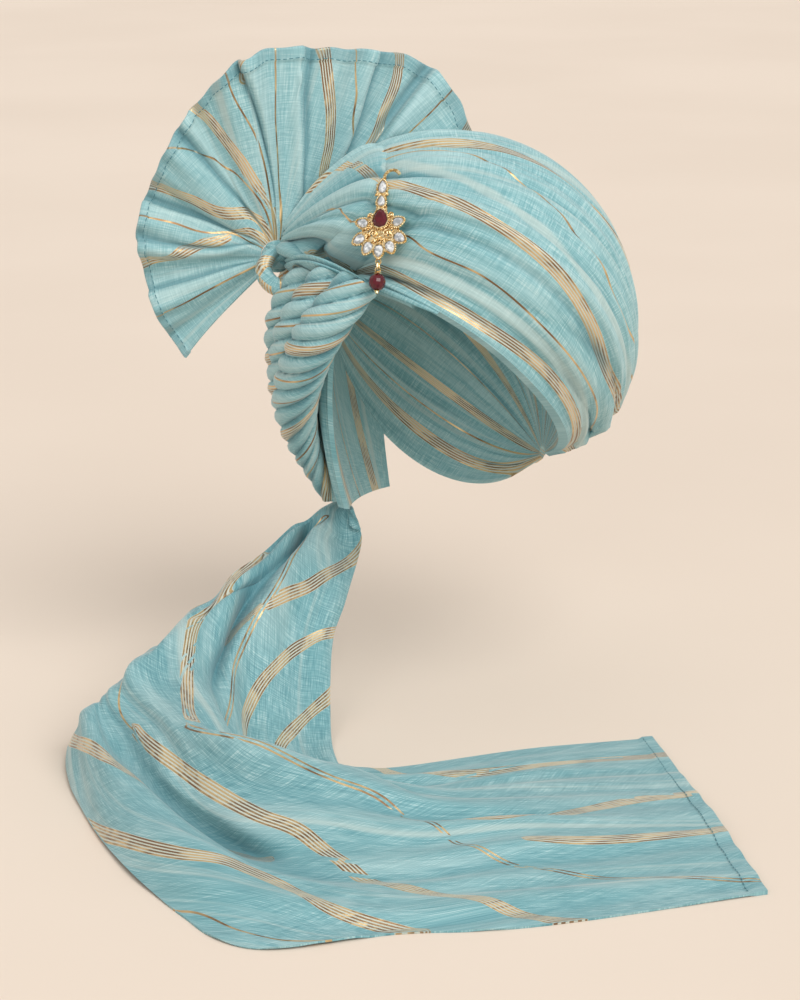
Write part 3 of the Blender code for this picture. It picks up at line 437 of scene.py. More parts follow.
def striped_cloth(name, light_through=0.0, deep=0.0):
    """Slub cloth in aqua: gold stripes follow the map named stripe. Painted shade darkens the valleys and
    painted highlight lightens the ridges of the map named relief; the cloth can also be made paler all over
    as painted light through a sheer layer, or darker all over as painted shade.
    """
    n = Nodes(name)
    weave, stripe = n.uv("weave"), n.uv("stripe")
    split = n.new("ShaderNodeSeparateXYZ")
    n.feed(split.inputs[0], stripe)
    distance, kind = split.outputs[0], split.outputs[1]
    away = n.math("ABSOLUTE", distance)

    relief = n.new("ShaderNodeSeparateXYZ")
    n.feed(relief.inputs[0], n.uv("relief"))
    height = relief.outputs[0]
    warp = n.noise(weave, 1.0, (1500, 60, 1), detail=2, roughness=0.6)
    weft = n.noise(weave, 1.0, (70, 1300, 1), detail=2, roughness=0.6)
    slub = n.noise(weave, 1.0, (60, 12, 1), detail=3, roughness=0.6)
    cloud = n.noise(weave, 1.0, (16, 10, 1), detail=2)
    bands = n.noise(weave, 1.0, (75, 1.2, 1), detail=2, roughness=0.6)
    threads = n.math("ADD", n.times(warp, 0.5), n.times(weft, 0.5))

    # A share given for cloth in shadow darkens every tone: painted shade over the whole cloth.
    light = tuple(a + (b - a) * deep for a, b in zip(AQUA, AQUA_DEEP))
    dark = tuple(a + (b - a) * deep for a, b in zip(AQUA_DEEP, AQUA_PAINTED_SHADE))
    tone = n.mix(n.ramp(threads, 0.38, 0.57), dark, light)
    tone = n.mix(n.times(n.ramp(threads, 0.53, 0.64), 0.55), tone, AQUA_PALE)
    tone = n.mix(n.times(n.ramp(slub, 0.46, 0.72), 0.28), tone, AQUA_PALE)
    tone = n.mix(n.times(n.ramp(cloud, 0.40, 0.70), 0.30), tone, AQUA_DEEP)
    tone = n.mix(n.times(n.ramp(bands, 0.54, 0.68), 0.50), tone, GREY_BAND)
    # Painted light showing through sheer cloth: the whole cloth is made paler.
    if light_through:
        tone = n.mix(light_through, tone, AQUA_PALE)
    # Painted highlight lightens the ridges of the relief map, more strongly on cloth with painted light
    # through it; painted shade for its valleys follows.
    tone = n.mix(n.times(n.ramp(height, 0.05, 0.9), 0.30 + 0.6 * light_through), tone, AQUA_PALE)
    valley = n.times(n.ramp(n.times(height, -1.0), 0.0, 0.9), 0.62 - 0.5 * light_through)

    is_multi, is_thin, is_double, is_pale = (
        n.math("COMPARE", kind, value, KIND_MARGIN) for value in (MULTI, THIN, DOUBLE, PALE)
    )
    ragged = n.times(n.math("SUBTRACT", n.noise(weave, 1.0, (60, 60, 1)), 0.5), 0.0002)
    away = n.math("ADD", away, ragged)
    in_multi = n.times(is_multi, n.math("LESS_THAN", away, MULTI_HALF_WIDTH))
    wave = n.math("PINGPONG", away, MULTI_PITCH / 2)
    lines = n.times(in_multi, n.math("LESS_THAN", wave, MULTI_PITCH * 0.27))
    thin = n.times(is_thin, n.math("LESS_THAN", away, THIN_HALF_WIDTH))
    beside = n.math("ABSOLUTE", n.math("SUBTRACT", away, 2.2 * THIN_HALF_WIDTH))
    double = n.times(is_double, n.math("LESS_THAN", beside, THIN_HALF_WIDTH * 0.9))
    gold = n.math("MAXIMUM", n.math("MAXIMUM", lines, thin), double)
    pale_band = n.times(is_pale, n.math("SUBTRACT", 1.0, n.ramp(away, 0.002, 0.0055)))

    glint = n.noise(weave, 1.0, (90, 28, 1), detail=3, roughness=0.7)
    gold_tone = n.mix(n.ramp(glint, 0.40, 0.58), GOLD_BROWN, GOLD_BRIGHT)
    tone = n.mix(n.times(pale_band, 0.50), tone, GREY_BAND)
    tone = n.mix(n.times(in_multi, 0.65), tone, CREAM)
    tone = n.mix(gold, tone, gold_tone)
    # Painted shade darkens the folds' valleys.
    tone = n.mix(valley, tone, AQUA_PAINTED_SHADE)
    n.set(Base_Color=tone, Metallic=n.times(gold, 0.65))
    rough = n.math("MULTIPLY_ADD", threads, 0.25, 0.52)
    n.set(Roughness=n.math("MULTIPLY_ADD", gold, -0.30, rough))
    n.set(Sheen_Weight=0.25, Sheen_Roughness=0.45)
    n.set(Specular_IOR_Level=0.35)
    n.bump(n.math("ADD", threads, n.times(gold, 0.5)), 0.35, 0.0006)
    return n.material


def thread_finish():
    n = Nodes("stitch_thread")
    grain = n.noise(n.place(), 2500, detail=2)
    n.set(Base_Color=n.mix(n.ramp(grain, 0.35, 0.65), (0.03, 0.13, 0.17, 1), (0.08, 0.27, 0.32, 1)))
    n.set(Roughness=0.7, Sheen_Weight=0.2)
    n.bump(grain, 0.4, 0.0002)
    return n.material


def gold_finish():
    n = Nodes("brooch_gold")
    where = n.place()
    soft = n.noise(where, 620, detail=2)
    fine = n.noise(where, 1500, detail=3, roughness=0.6)
    # Dark and bright gold patches at random stand in for highlights and shade: painted reflection.
    tone = n.mix(n.ramp(soft, 0.40, 0.58), (0.60, 0.38, 0.14, 1), (1.0, 0.82, 0.50, 1))
    n.set(Base_Color=tone, Metallic=1.0)
    n.set(Roughness=n.math("MULTIPLY_ADD", fine, 0.16, 0.12))
    n.bump(n.math("ADD", soft, n.times(fine, 0.3)), 0.12, 0.0003)
    return n.material


def stone_finish(name, dark, light):
    n = Nodes(name)
    where = n.place()
    cloud = n.noise(where, 420, detail=2)
    n.set(Base_Color=n.mix(n.ramp(cloud, 0.35, 0.65), dark, light))
    n.set(Roughness=n.math("MULTIPLY_ADD", n.noise(where, 900), 0.05, 0.02))
    n.set(IOR=1.50, Coat_Weight=0.10, Coat_Roughness=0.03)
    return n.material


def floor_finish():
    n = Nodes("studio_floor")
    where = n.place()
    soft = n.noise(where, 1.5, detail=3)
    grain = n.noise(where, 260, detail=2)
    n.set(Base_Color=n.mix(n.ramp(soft, 0.3, 0.7), (0.77, 0.662, 0.567, 1), (0.80, 0.692, 0.597, 1)))
    n.set(Roughness=0.85)
    n.bump(grain, 0.05, 0.0005)
    return n.material


# Crown

HALVING_ROUNDS = 36
HEAD_SEARCH_REACH = 0.16
HEAD_SEARCH_STEPS = 81


def nape_narrowing(z):
    """The head's breadth at a height as a share of its breadth at the brow."""
    return 1 - HEAD_NAPE_TAPER * np.clip(-z / HEAD_NAPE_DEPTH, 0, 1.2) ** 2


def head_level(points):
    x, y, z = points[..., 0], points[..., 1] - HEAD_CENTRE_Y, points[..., 2]
    narrow = nape_narrowing(z)
    return (
        (x / (HEAD_HALF_BREADTH * narrow)) ** 2
        + (y / (HEAD_HALF_LENGTH * narrow)) ** 2
        + (np.maximum(z, 0) / HEAD_CROWN_HEIGHT) ** 2
    )


def crown_level(points):
    p = points - CROWN_CENTRE
    half_z = np.where(p[..., 2] > 0, CROWN_HALF[2], CROWN_HALF_BELOW)
    return (p[..., 0] / CROWN_HALF[0]) ** 2 + (p[..., 1] / CROWN_HALF[1]) ** 2 + (p[..., 2] / half_z) ** 2


def last_inside(level, start, direction, near, far):
    """Where a direction leaves a body, between two distances, by halving."""
    for _ in range(HALVING_ROUNDS):
        middle = (near + far) / 2
        inside = level(start + direction * middle[..., None]) < 1
        near, far = np.where(inside, middle, near), np.where(inside, far, middle)
    return near


def crown_distance(start, direction):
    near = np.zeros(np.broadcast(start, direction).shape[:-1])
    return last_inside(crown_level, start, direction, near, near + 4 * CROWN_HALF.max())


def head_distance(start, direction):
    """How far along a direction the head is last left, with a gap; WRAP_CORE where it is missed."""
    steps = np.linspace(0, HEAD_SEARCH_REACH, HEAD_SEARCH_STEPS)
    last = np.full(start.shape[:-1], -1)
    for k, step in enumerate(steps):
        inside = head_level(start + direction * step) < 1
        last = np.where(inside, k, last)
    found = last >= 0
    near = steps[np.clip(last, 0, HEAD_SEARCH_STEPS - 2)]
    exact = last_inside(head_level, start, direction, near, near + steps[1]) + GAP
    return np.maximum(np.where(found, exact, WRAP_CORE), WRAP_CORE)


def on_crown(direction):
    d = unit(direction)
    return CROWN_CENTRE + d * crown_distance(CROWN_CENTRE, d)


KNOT = on_crown(KNOT_DIRECTION)
NAPE = on_crown(NAPE_DIRECTION)
AXIS = unit(NAPE - KNOT)
_to_brow = np.array(BROW_POINT) - KNOT
BROW_SIDE = unit(_to_brow - AXIS * (_to_brow @ AXIS))
TOP_SIDE = np.cross(BROW_SIDE, AXIS)
BROW_NORMAL = TOP_SIDE * math.copysign(1, TOP_SIDE[2])
_back = math.radians(LAST_WRAP_END)
_back_across = np.cross(math.cos(_back) * BROW_SIDE + math.sin(_back) * TOP_SIDE, AXIS)
BACK_NORMAL = _back_across * math.copysign(1, _back_across[2])
SETTLING_ROUNDS = 12


def wrap_direction(angle):
    """From the line knot-to-nape out to the wraps; 0 at the brow edge, 90 degrees over the top."""
    return np.cos(angle)[..., None] * BROW_SIDE + np.sin(angle)[..., None] * TOP_SIDE


def crown_rays(degrees, along):
    """Start, direction, inner and outer distance of the crown's wall, from grids of angle and share."""
    way = WRAP_ENDS[0] + (WRAP_ENDS[1] - WRAP_ENDS[0]) * (1 - np.cos(np.pi * along)) / 2
    start = KNOT + (NAPE - KNOT) * way[..., None]
    direction = wrap_direction(np.radians(degrees))
    inner = head_distance(start, direction)
    full = crown_distance(start, direction)
    thin = BROW_EDGE_SHARE + (1 - BROW_EDGE_SHARE) * ease(degrees / BROW_EDGE_TURN)
    outer = inner + np.maximum((full - inner) * thin, 2 * CLOTH)
    return start, direction, inner, outer


# Where one turn of cloth ends on the next, in degrees over the crown, and how far its edge stands out
TURN_EDGES = (
    (-8, 0.0), (17, 0.0006), (42, 0.0010), (68, 0.0018),
    (97, 0.0024), (130, 0.0026), (166, 0.0026), (210, 0.0),
)


def pleat_profile(phase, sharp=0.5):
    """Round ridges with narrow valleys, 0 in the valley and 1 on the ridge."""
    return np.abs(np.sin(np.pi * phase)) ** sharp


# The crown's rounded end by the knot: its share beyond the first ring, its core and how far it stands out
CAP_SPAN = 0.22
CAP_CORE = WRAP_CORE + 0.0012
CAP_RISE = 0.0180
KNOT_PLEAT = 12.5
NAPE_PLEAT = 10.0
MIDDLE_PLEAT = 8.6


def crown_folds(degrees, along):
    """How far the cloth stands out from the smooth crown: pleats at both ends, soft creases between."""
    wander = 3.4 * np.sin(degrees / 11.0 + 3.0 * along) + 1.8 * np.sin(degrees / 4.7 - 5.0 * along + 1.0)
    near_knot = (1 - ease((along - 0.06) / 0.34)) * (0.60 + 0.40 * np.sin(degrees / 9.1 + 1.0) ** 2)
    near_nape = ease((along - 0.58) / 0.34) * (0.55 + 0.45 * np.sin(degrees / 6.3 + 2.0) ** 2)
    knot_pleats = pleat_profile((degrees + wander + 20 * along) / KNOT_PLEAT, 0.62) - 0.66
    nape_pleats = pleat_profile((degrees + wander - 12 * along) / NAPE_PLEAT, 0.50) - 0.72
    small = pleat_profile((degrees + 2 * wander) / 4.3 + 1.5 * along) - 0.6
    creases = ripples(degrees / 100, along * 0.27, ((11, 1.5, 1.0), (24, 2.6, 0.45)), SEED)
    folds = 0.0120 * near_knot * knot_pleats + 0.0088 * near_nape * nape_pleats
    folds = folds + 0.0014 * (near_knot + near_nape) * small
    folds = folds + 0.0021 * (1 - 0.7 * near_knot - 0.5 * near_nape) * creases
    ridges = pleat_profile((degrees + 1.6 * wander - 16 * (along - 0.5) ** 2) / MIDDLE_PLEAT, 0.8) - 0.6
    folds = folds + 0.0026 * (1 - 0.6 * near_knot - 0.6 * near_nape) * ridges
    for (low, _), (high, step) in zip(TURN_EDGES[:-1], TURN_EDGES[1:]):
        share = (degrees - low) / (high - low)
        folds = folds + np.where((share >= 0) & (share < 1), step * share**2, 0)
    return folds


def crown_points(degrees, along, lift=0.0, folded=1.0):
    """Points outside and inside the crown's cloth, and its relief; along runs from -CAP_SPAN to 1."""
    share = np.maximum(along, 0)
    start, direction, inner, outer = crown_rays(degrees, share)
    t = np.clip(-along / CAP_SPAN, 0, 1) ** 2
    radius = CAP_CORE + (outer - CAP_CORE) * (1 - t)
    lean = ease((degrees + 12) / 16) * (1 - 0.70 * ease((degrees - 76) / 30))
    rise = CAP_RISE * lean * np.sqrt(1 - (1 - t) ** 2) * ease((radius - 0.0065) / 0.014)
    smooth = start + direction * radius[..., None] - AXIS * rise[..., None]
    normals = grid_normals(smooth)
    outwards = direction + AXIS * (2.4 * share - 1.2)[..., None]
    normals = normals * math.copysign(1, (normals * outwards).sum())
    room = np.clip((radius - 0.002) / 0.050, 0.08, 1)
    room = room * np.clip((outer - inner) / 0.012, 0.25, 1)
    folds = crown_folds(degrees, share) * folded
    outside = smooth + normals * (folds * room + lift)[..., None]
    inside = start + direction * (inner + 0.0006 * t)[..., None]
    # The relief is the folds' height, for painted highlight on the pleats and painted shade between them.
    return outside, inside, folds / 0.0042


# Stripes over the crown: kind, shares of the way from knot to nape, and degrees over the crown there
CROWN_STRIPES = (
    (MULTI, (0.0, 0.09, 0.15, 0.20, 0.25, 0.30, 0.42, 0.62, 0.83, 1.0),
     (6.3, 6.7, 7.6, 7.2, 5.0, 3.6, 3.0, 5.2, 6.5, 8.0)),
    (THIN, (-0.13, -0.05, 0.06, 0.22, 0.28, 0.39, 0.53, 0.67, 0.80, 1.0),
     (24.0, 18.6, 17.5, 15.6, 12.8, 12.2, 11.2, 12.2, 14.0, 16.0)),
    (MULTI, (-0.16, -0.12, -0.07, 0.0, 0.11, 0.21, 0.32, 0.50, 0.61, 0.72, 0.85, 1.0),
     (68.0, 60.0, 40.0, 31.0, 28.0, 25.4, 23.2, 20.8, 19.2, 18.4, 22.0, 28.0)),
    (PALE, (0.0, 0.10, 0.23, 0.41, 0.60, 1.0), (42.0, 39.5, 34.0, 28.0, 24.5, 31.0)),
    (THIN, (0.0, 0.10, 0.20, 0.285, 0.365, 0.46, 0.57, 0.66, 0.80, 1.0),
     (46.0, 45.6, 45.4, 43.0, 38.8, 34.4, 31.2, 29.0, 33.0, 44.0)),
    (PALE, (0.0, 0.30, 0.60, 1.0), (12.0, 8.4, 8.6, 12.0)),
)
LATER_STRIPES_START = 54.0
LATER_STRIPES_STEP = 14.5
# Metres of cloth for a radian round the crown, and from knot to nape
CROWN_REACH = 0.118
CROWN_LENGTH = 0.27


def make_crown(finish):
    """The wound cloth of the crown, turn over turn, gathered at the knot and at the nape."""
    rows, columns = ((360, 104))
    cap_columns = columns // 4
    places = np.concatenate([np.linspace(-CAP_SPAN, 0, cap_columns)[:-1], np.linspace(0, 1, columns)])
    degrees, along = np.meshgrid(np.linspace(0, LAST_WRAP_END, rows), places, indexing="ij")
    outer, inner, relief = crown_points(degrees, along)
    stripes = list(CROWN_STRIPES)
    at, k = LATER_STRIPES_START, 0
    while at < LAST_WRAP_END - 4:
        bow = 2.5 * math.sin(k * 1.7)
        stripes.append((THIN if k % 2 else MULTI, (0.0, 0.5, 1.0), (at, at - 3 + bow, at + 1)))
        at, k = at + LATER_STRIPES_STEP, k + 1
    length = along * CROWN_LENGTH * np.where(along < 0, 0.9, 1.0)
    weave = pair(np.radians(degrees) * CROWN_REACH, length)
    stripe_grids = stripe_map(outer, degrees, along, stripes)
    crown = wall("crown_cloth", outer, inner, weave, stripe_grids, finish, relief)
    nodes = ("wrap_brow", "wrap_front_low", "wrap_front_high", "wrap_top_front", "wrap_top_back",
             "wrap_back_high", "wrap_back_low")
    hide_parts(*nodes)
    return crown


# The turn of cloth that laps over the front by the knot: share of the way, lower and upper edge in degrees
FRONT_LAP = (
    (-0.19, -2.0, 11.0), (-0.10, -2.4, 6.8), (0.0, -2.6, 5.0), (0.10, -2.8, 4.4), (0.18, -3.0, 4.4),
    (0.24, -3.0, 2.6), (0.30, -2.4, 1.4), (0.37, -1.0, 0.4),
)
FRONT_LAP_LIFT = 0.0048
# How much of the crown's own folds the lap follows
LAP_FOLDED = 0.25


def make_front_lap(finish):
    rows, columns = 40, 110
    table = np.array(FRONT_LAP)
    share = np.linspace(FRONT_LAP[0][0], FRONT_LAP[-1][0], columns)
    low = smooth_curve(table[:, 0], table[:, 1], share)
    high = smooth_curve(table[:, 0], table[:, 2], share)
    t = np.linspace(0, 1, rows)[:, None]
    degrees = low + (high - low) * t
    along = share + 0 * t
    ends = ease((share - FRONT_LAP[0][0]) / 0.06) * ease((FRONT_LAP[-1][0] - share) / 0.12)
    bow = np.sin(np.pi * np.clip(t, 0.015, 0.985)) ** 0.30
    groove = 1 - 0.45 * np.exp(-(((t - 0.40 - 0.3 * along) / 0.07) ** 2)) * ease((share + 0.1) / 0.1)
    lift = FRONT_LAP_LIFT * bow * groove * (0.25 + 0.75 * ends)
    outer, _, _ = crown_points(degrees, along, lift, LAP_FOLDED)
    inner, _, _ = crown_points(degrees, along, 0.0002, LAP_FOLDED)
    # Relief for painted shade along the lap's edges and in its groove.
    relief = np.clip(bow * groove * 1.6 - 1.2, -1, 0.3) + 0 * degrees
    weave = pair(np.radians(degrees) * CROWN_REACH, along * CROWN_LENGTH)
    return wall("front_lap", outer, inner, weave, plain(degrees.shape), finish, relief)


# Side of the head

def head_radius(angle, z):
    narrow = nape_narrowing(z)
    rounding = np.sqrt(np.maximum(1 - (np.maximum(z, 0) / HEAD_CROWN_HEIGHT) ** 2, 0.05))
    reach = np.hypot(np.sin(angle) / HEAD_HALF_BREADTH, np.cos(angle) / HEAD_HALF_LENGTH)
    return narrow * rounding / reach


def side_point(angle, z, outwards):
    r = head_radius(angle, z) + outwards
    return np.stack([-r * np.sin(angle), HEAD_CENTRE_Y - r * np.cos(angle), z + 0 * angle], axis=-1)


def plane_z(normal, x, y, below=0.0):
    foot = KNOT - normal * below
    return foot[2] - (normal[0] * (x - foot[0]) + normal[1] * (y - foot[1])) / normal[2]


def under_wraps_z(x, y, below=0.0):
    return np.minimum(plane_z(BROW_NORMAL, x, y, below), plane_z(BACK_NORMAL, x, y, below))


SIDE_WRAP_FRONT = (46.0, 95.0)
SIDE_WRAP_BACK = (150.0, 150.0)
SIDE_WRAP_SPAN = 0.13
SIDE_WRAP_STRIPES = (
    (MULTI, (0.0, 1.0), (0.24, 0.16)),
    (THIN, (0.0, 1.0), (0.52, 0.50)),
    (MULTI, (0.0, 1.0), (0.80, 0.80)),
)


def make_side_wrap(finish):
    """The turn that comes down over the wearer's right ear to the nape, under the rolls."""
    rows, columns = 100, 70
    share, down = np.meshgrid(np.linspace(0, 1, rows), np.linspace(0, 1, columns), indexing="ij")
    front = np.radians(SIDE_WRAP_FRONT[0] + (SIDE_WRAP_FRONT[1] - SIDE_WRAP_FRONT[0]) * down)
    back = np.radians(SIDE_WRAP_BACK[0] + (SIDE_WRAP_BACK[1] - SIDE_WRAP_BACK[0]) * down)
    angles = front + (back - front) * share
    folds = 0.0011 * (pleat_profile(share * 7 + 0.6 * np.sin(3 * down)) - 1) * np.sin(np.pi * share) ** 0.3
    edge = 0.0045 * (1 - ease(share / 0.06))
    walls = []
    for outward in (SIDE_WRAP_THICKNESS - 0.0003 + folds - edge, GAP + 0 * folds):
        z = np.zeros_like(angles)
        for _ in range(SETTLING_ROUNDS):
            p = side_point(angles, z, outward)
            top = under_wraps_z(p[..., 0], p[..., 1], GAP)
            z = top + (ROLL_BOTTOM_Z - top) * down
        walls.append(side_point(angles, z, outward))
    weave = pair(share * SIDE_WRAP_SPAN, down * SIDE_WRAP_SPAN)
    stripes = stripe_map(walls[0], share, down, SIDE_WRAP_STRIPES)
    side = wall("side_wrap_cloth", walls[0], walls[1], weave, stripes, finish)
    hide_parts("side_wrap")
    return side


ROLL_RADIUS = 0.0148
ROLL_LOBE_DEPTH = 0.11
ROLL_PITCH = 0.095
ROLL_SEAT = 0.0013
ROLLS = (
    {"name": "roll_1", "top": 34.0, "foot": 112.0, "girth": 1.00, "turned": 0.3},
    {"name": "roll_2", "top": 50.0, "foot": 121.0, "girth": 0.97, "turned": 3.4},
    {"name": "roll_3", "top": 70.0, "foot": 131.0, "girth": 0.97, "turned": 1.5},
    {"name": "roll_4", "top": 90.0, "foot": 142.0, "girth": 0.90, "turned": 5.0},
)
ROLL_FOLDS = 5
ROLL_SMALL_FOLD = 0.030
# Kind of each stripe on a roll, and the fold it lies on
ROLL_STRIPES = ((MULTI, 0.50), (THIN, 2.30), (THIN, 3.60))
# Metres of cloth in a fold of a roll
ROLL_FOLD_CLOTH = 0.036


def roll_line(row, share):
    """Centre and radius of a roll, from under the brow fold to the nape."""
    top, foot = math.radians(row["top"]), math.radians(row["foot"])
    angle = top + (foot - top) * share**1.15
    radius = ROLL_RADIUS * row["girth"] * (1.0 - 0.58 * ease((share - 0.42) / 0.58))
    radius = radius * (0.86 + 0.14 * ease(share / 0.25))
    outward = SIDE_WRAP_THICKNESS + ROLL_SEAT + radius * (1 + ROLL_LOBE_DEPTH)
    z = np.zeros_like(share)
    for _ in range(SETTLING_ROUNDS):
        p = side_point(angle, z, outward)
        top_z = plane_z(BROW_NORMAL, p[0, 0], p[0, 1])
        z = top_z + (ROLL_BOTTOM_Z - top_z) * share
    return side_point(angle, z, outward), radius


def axes_along(centres):
    along = np.gradient(centres, axis=0)
    along = along / np.linalg.norm(along, axis=1, keepdims=True)
    side = np.cross(along, np.array([0.0, 0.0, 1.0]) + 0 * along)
    side = side / np.linalg.norm(side, axis=1, keepdims=True)
    return along, side, np.cross(side, along)


def run_length(line):
    """How far along a line of points each of them lies."""
    return np.concatenate([[0], np.cumsum(np.linalg.norm(np.diff(line, axis=0), axis=1))])


def rings_about(centres, side, up, wide, tall):
    """Rings of points about a line, each point at its own distances to the side and up."""
    return centres[:, None, :] + side[:, None, :] * wide[..., None] + up[:, None, :] * tall[..., None]


def flatten_beyond(points, point, normal):
    """Moves what lies beyond a plane back onto it."""
    beyond = np.maximum((points - point) @ np.asarray(normal, float), 0)
    return points - beyond[..., None] * np.asarray(normal, float)


def make_roll(row, finish):
    """A twisted roll of cloth with overlapping spiral folds."""
    count, sides = ((170, 72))
    share = np.linspace(0, 1, count)
    centres, radius = roll_line(row, share)
    _, side, up = axes_along(centres)
    length = run_length(centres)
    phi = np.linspace(0, 2 * np.pi, sides + 1)
    turned = row["turned"] - 2 * np.pi * length / ROLL_PITCH
    spin = (phi[None, :] - turned[:, None]) / (2 * np.pi) * ROLL_FOLDS
    seed = row["top"]
    uneven = 0.20 * np.sin(length[:, None] * 52 + seed)
    uneven = uneven + 0.07 * np.sin(phi[None, :] + length[:, None] * 40 + seed)
    w = np.mod(spin + uneven, 1.0)
    lobe = np.sqrt(np.sin(np.pi * w ** 0.72) + 1e-9)
    small = ROLL_SMALL_FOLD * pleat_profile(w * 2 + 0.5, 1.0) * ease((1 - w) / 0.25) * ease(w / 0.25)
    reach = radius[:, None] * (0.77 + 0.30 * lobe + small)
    rings = rings_about(centres, side, up, reach * np.cos(phi), reach * np.sin(phi))
    below = 2 * BROW_FOLD_HALF_HEIGHT + 3 * GAP
    rings = flatten_beyond(rings, KNOT - BROW_NORMAL * below, BROW_NORMAL)
    rings = flatten_beyond(rings, KNOT - BACK_NORMAL * GAP, BACK_NORMAL)
    rings = flatten_beyond(rings, np.array([0, 0, ROLL_BOTTOM_Z]), (0, 0, -1))
    climb = ROLL_PITCH / (2 * np.pi * radius[:, None])
    metres = 2 * np.pi * radius[:, None] / ROLL_FOLDS * climb / np.sqrt(1 + climb**2)
    turns_seen = np.arange(math.floor(spin.min() / ROLL_FOLDS) - 1, math.ceil(spin.max() / ROLL_FOLDS) + 2)
    distances = [
        (spin + uneven - at - ROLL_FOLDS * turn) * metres for _, at in ROLL_STRIPES for turn in turns_seen
    ]
    kinds = [kind for kind, _ in ROLL_STRIPES for _ in turns_seen]
    weave = pair(spin * ROLL_FOLD_CLOTH, length[:, None] + 0 * spin)
    # Relief lowered on the flanks that face the neighbouring rolls: painted shade between rolls; the folds'
    # crests get painted highlight.
    beside = np.abs(np.sin(phi))[None, :] ** 6
    relief = 2.2 * (lobe + small * 2 - 0.62) - 1.1 * beside
    roll = tube(row["name"] + "_cloth", rings[:, :-1], weave, (distances, kinds), finish, relief)
    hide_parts(row["name"])
    return roll


BROW_FOLD_ENDS = (84.0, 14.0)
BROW_FOLD_HALF_HEIGHT = 0.0036
# The folds laid along the brow edge: rise and height as shares of the half height, outward shift in metres
BROW_FOLDS = (
    {"name": "brow_fold_upper", "rise": 0.42, "out": 0.0012, "tall": 0.56},
    {"name": "brow_fold_lower", "rise": -0.46, "out": -0.0004, "tall": 0.52},
)


def make_brow_fold(row, finish):
    """A narrow folded edge from the knot over the heads of the rolls to the forehead."""
    count, sides = 120, 40
    share = np.linspace(0, 1, count)
    angle = np.radians(BROW_FOLD_ENDS[0] + (BROW_FOLD_ENDS[1] - BROW_FOLD_ENDS[0]) * share)
    cover = ease((0.80 - share) / 0.45)
    half_width = 0.0035 + 0.0085 * cover
    half_height = BROW_FOLD_HALF_HEIGHT * (0.45 + 0.55 * cover)
    outward = GAP * 2 + half_width + (SIDE_WRAP_THICKNESS + 0.006) * cover
    z = np.zeros_like(share)
    for _ in range(SETTLING_ROUNDS):
        p = side_point(angle, z, outward)
        z = plane_z(BROW_NORMAL, p[:, 0], p[:, 1]) - (half_height + GAP) / BROW_NORMAL[2]
    centres = side_point(angle, z, outward)
    along = np.gradient(centres, axis=0)
    along = along / np.linalg.norm(along, axis=1, keepdims=True)
    wide = np.cross(along, BROW_NORMAL)
    wide = wide / np.linalg.norm(wide, axis=1, keepdims=True)
    centres = centres + BROW_NORMAL * (half_height * row["rise"])[:, None]
    centres = centres + wide * row["out"] * cover[:, None]
    phi = np.linspace(0, 2 * np.pi, sides + 1)
    round_x = np.sign(np.cos(phi)) * np.abs(np.cos(phi)) ** 0.8
    round_y = np.sign(np.sin(phi)) * np.abs(np.sin(phi)) ** 0.8
    crease = 1 + 0.03 * np.sin(share * 9)[:, None] * np.cos(2 * phi)
    rings = (
        centres[:, None, :]
        + wide[:, None, :] * (half_width[:, None] * round_x * crease)[..., None]
        + BROW_NORMAL * (half_height[:, None] * row["tall"] * round_y * crease)[..., None]
    )
    weave = pair(phi * 0.006 + 0 * share[:, None], share[:, None] * 0.10 + 0 * phi)
    fold = tube(row["name"], rings[:, :-1], weave, plain((count, sides + 1)), finish)
    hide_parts("brow_fold")
    return fold


# Knot and fan

def knot_centre():
    stand_off = math.sqrt((KNOT_RADIUS + GAP) ** 2 - WRAP_CORE**2)
    return KNOT + AXIS * (np.linalg.norm(NAPE - KNOT) * WRAP_ENDS[0] - stand_off)


def make_knot(finish):
    """The round lump where the wraps are gathered and the fan starts, with the pleats drawn into it."""
    steps, sides = 40, 60
    side = unit(np.cross(AXIS, (0, 1, 0)))
    other = np.cross(AXIS, side)
    phi = np.linspace(0, 2 * np.pi, sides + 1)
    lean = np.linspace(0.03, math.pi - 0.03, steps)[:, None]
    pleat = pleat_profile((phi / (2 * np.pi)) * 7 + 0.5 * np.sin(lean * 2)) - 0.7
    reach = KNOT_RADIUS * (0.95 + 0.30 * pleat * np.sin(lean) ** 0.5)
    ring = np.cos(phi)[:, None] * side + np.sin(phi)[:, None] * other
    rings = knot_centre() + (reach * np.cos(lean))[..., None] * AXIS
    rings = rings + (reach * np.sin(lean))[..., None] * ring
    weave = pair(phi * KNOT_RADIUS + 0 * lean, lean * KNOT_RADIUS + 0 * phi)
    knot = tube("knot_cloth", rings[:, :-1], weave, plain((steps, sides + 1)), finish)
    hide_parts("knot")
    return knot


# The small roll that comes from behind the knot: across, back and up from the knot, in mm, and its radius
KNOT_LOOP = (
    (2.7, -4.0, 5.0, 3.2), (-4.5, -12.0, 2.0, 4.6), (-8.4, -18.0, -6.0, 5.4), (-3.5, -21.0, -14.2, 6.0),
    (6.0, -21.0, -18.4, 6.2), (14.5, -18.0, -22.0, 5.0), (20.0, -13.0, -25.0, 3.2),
)
MM = 0.001


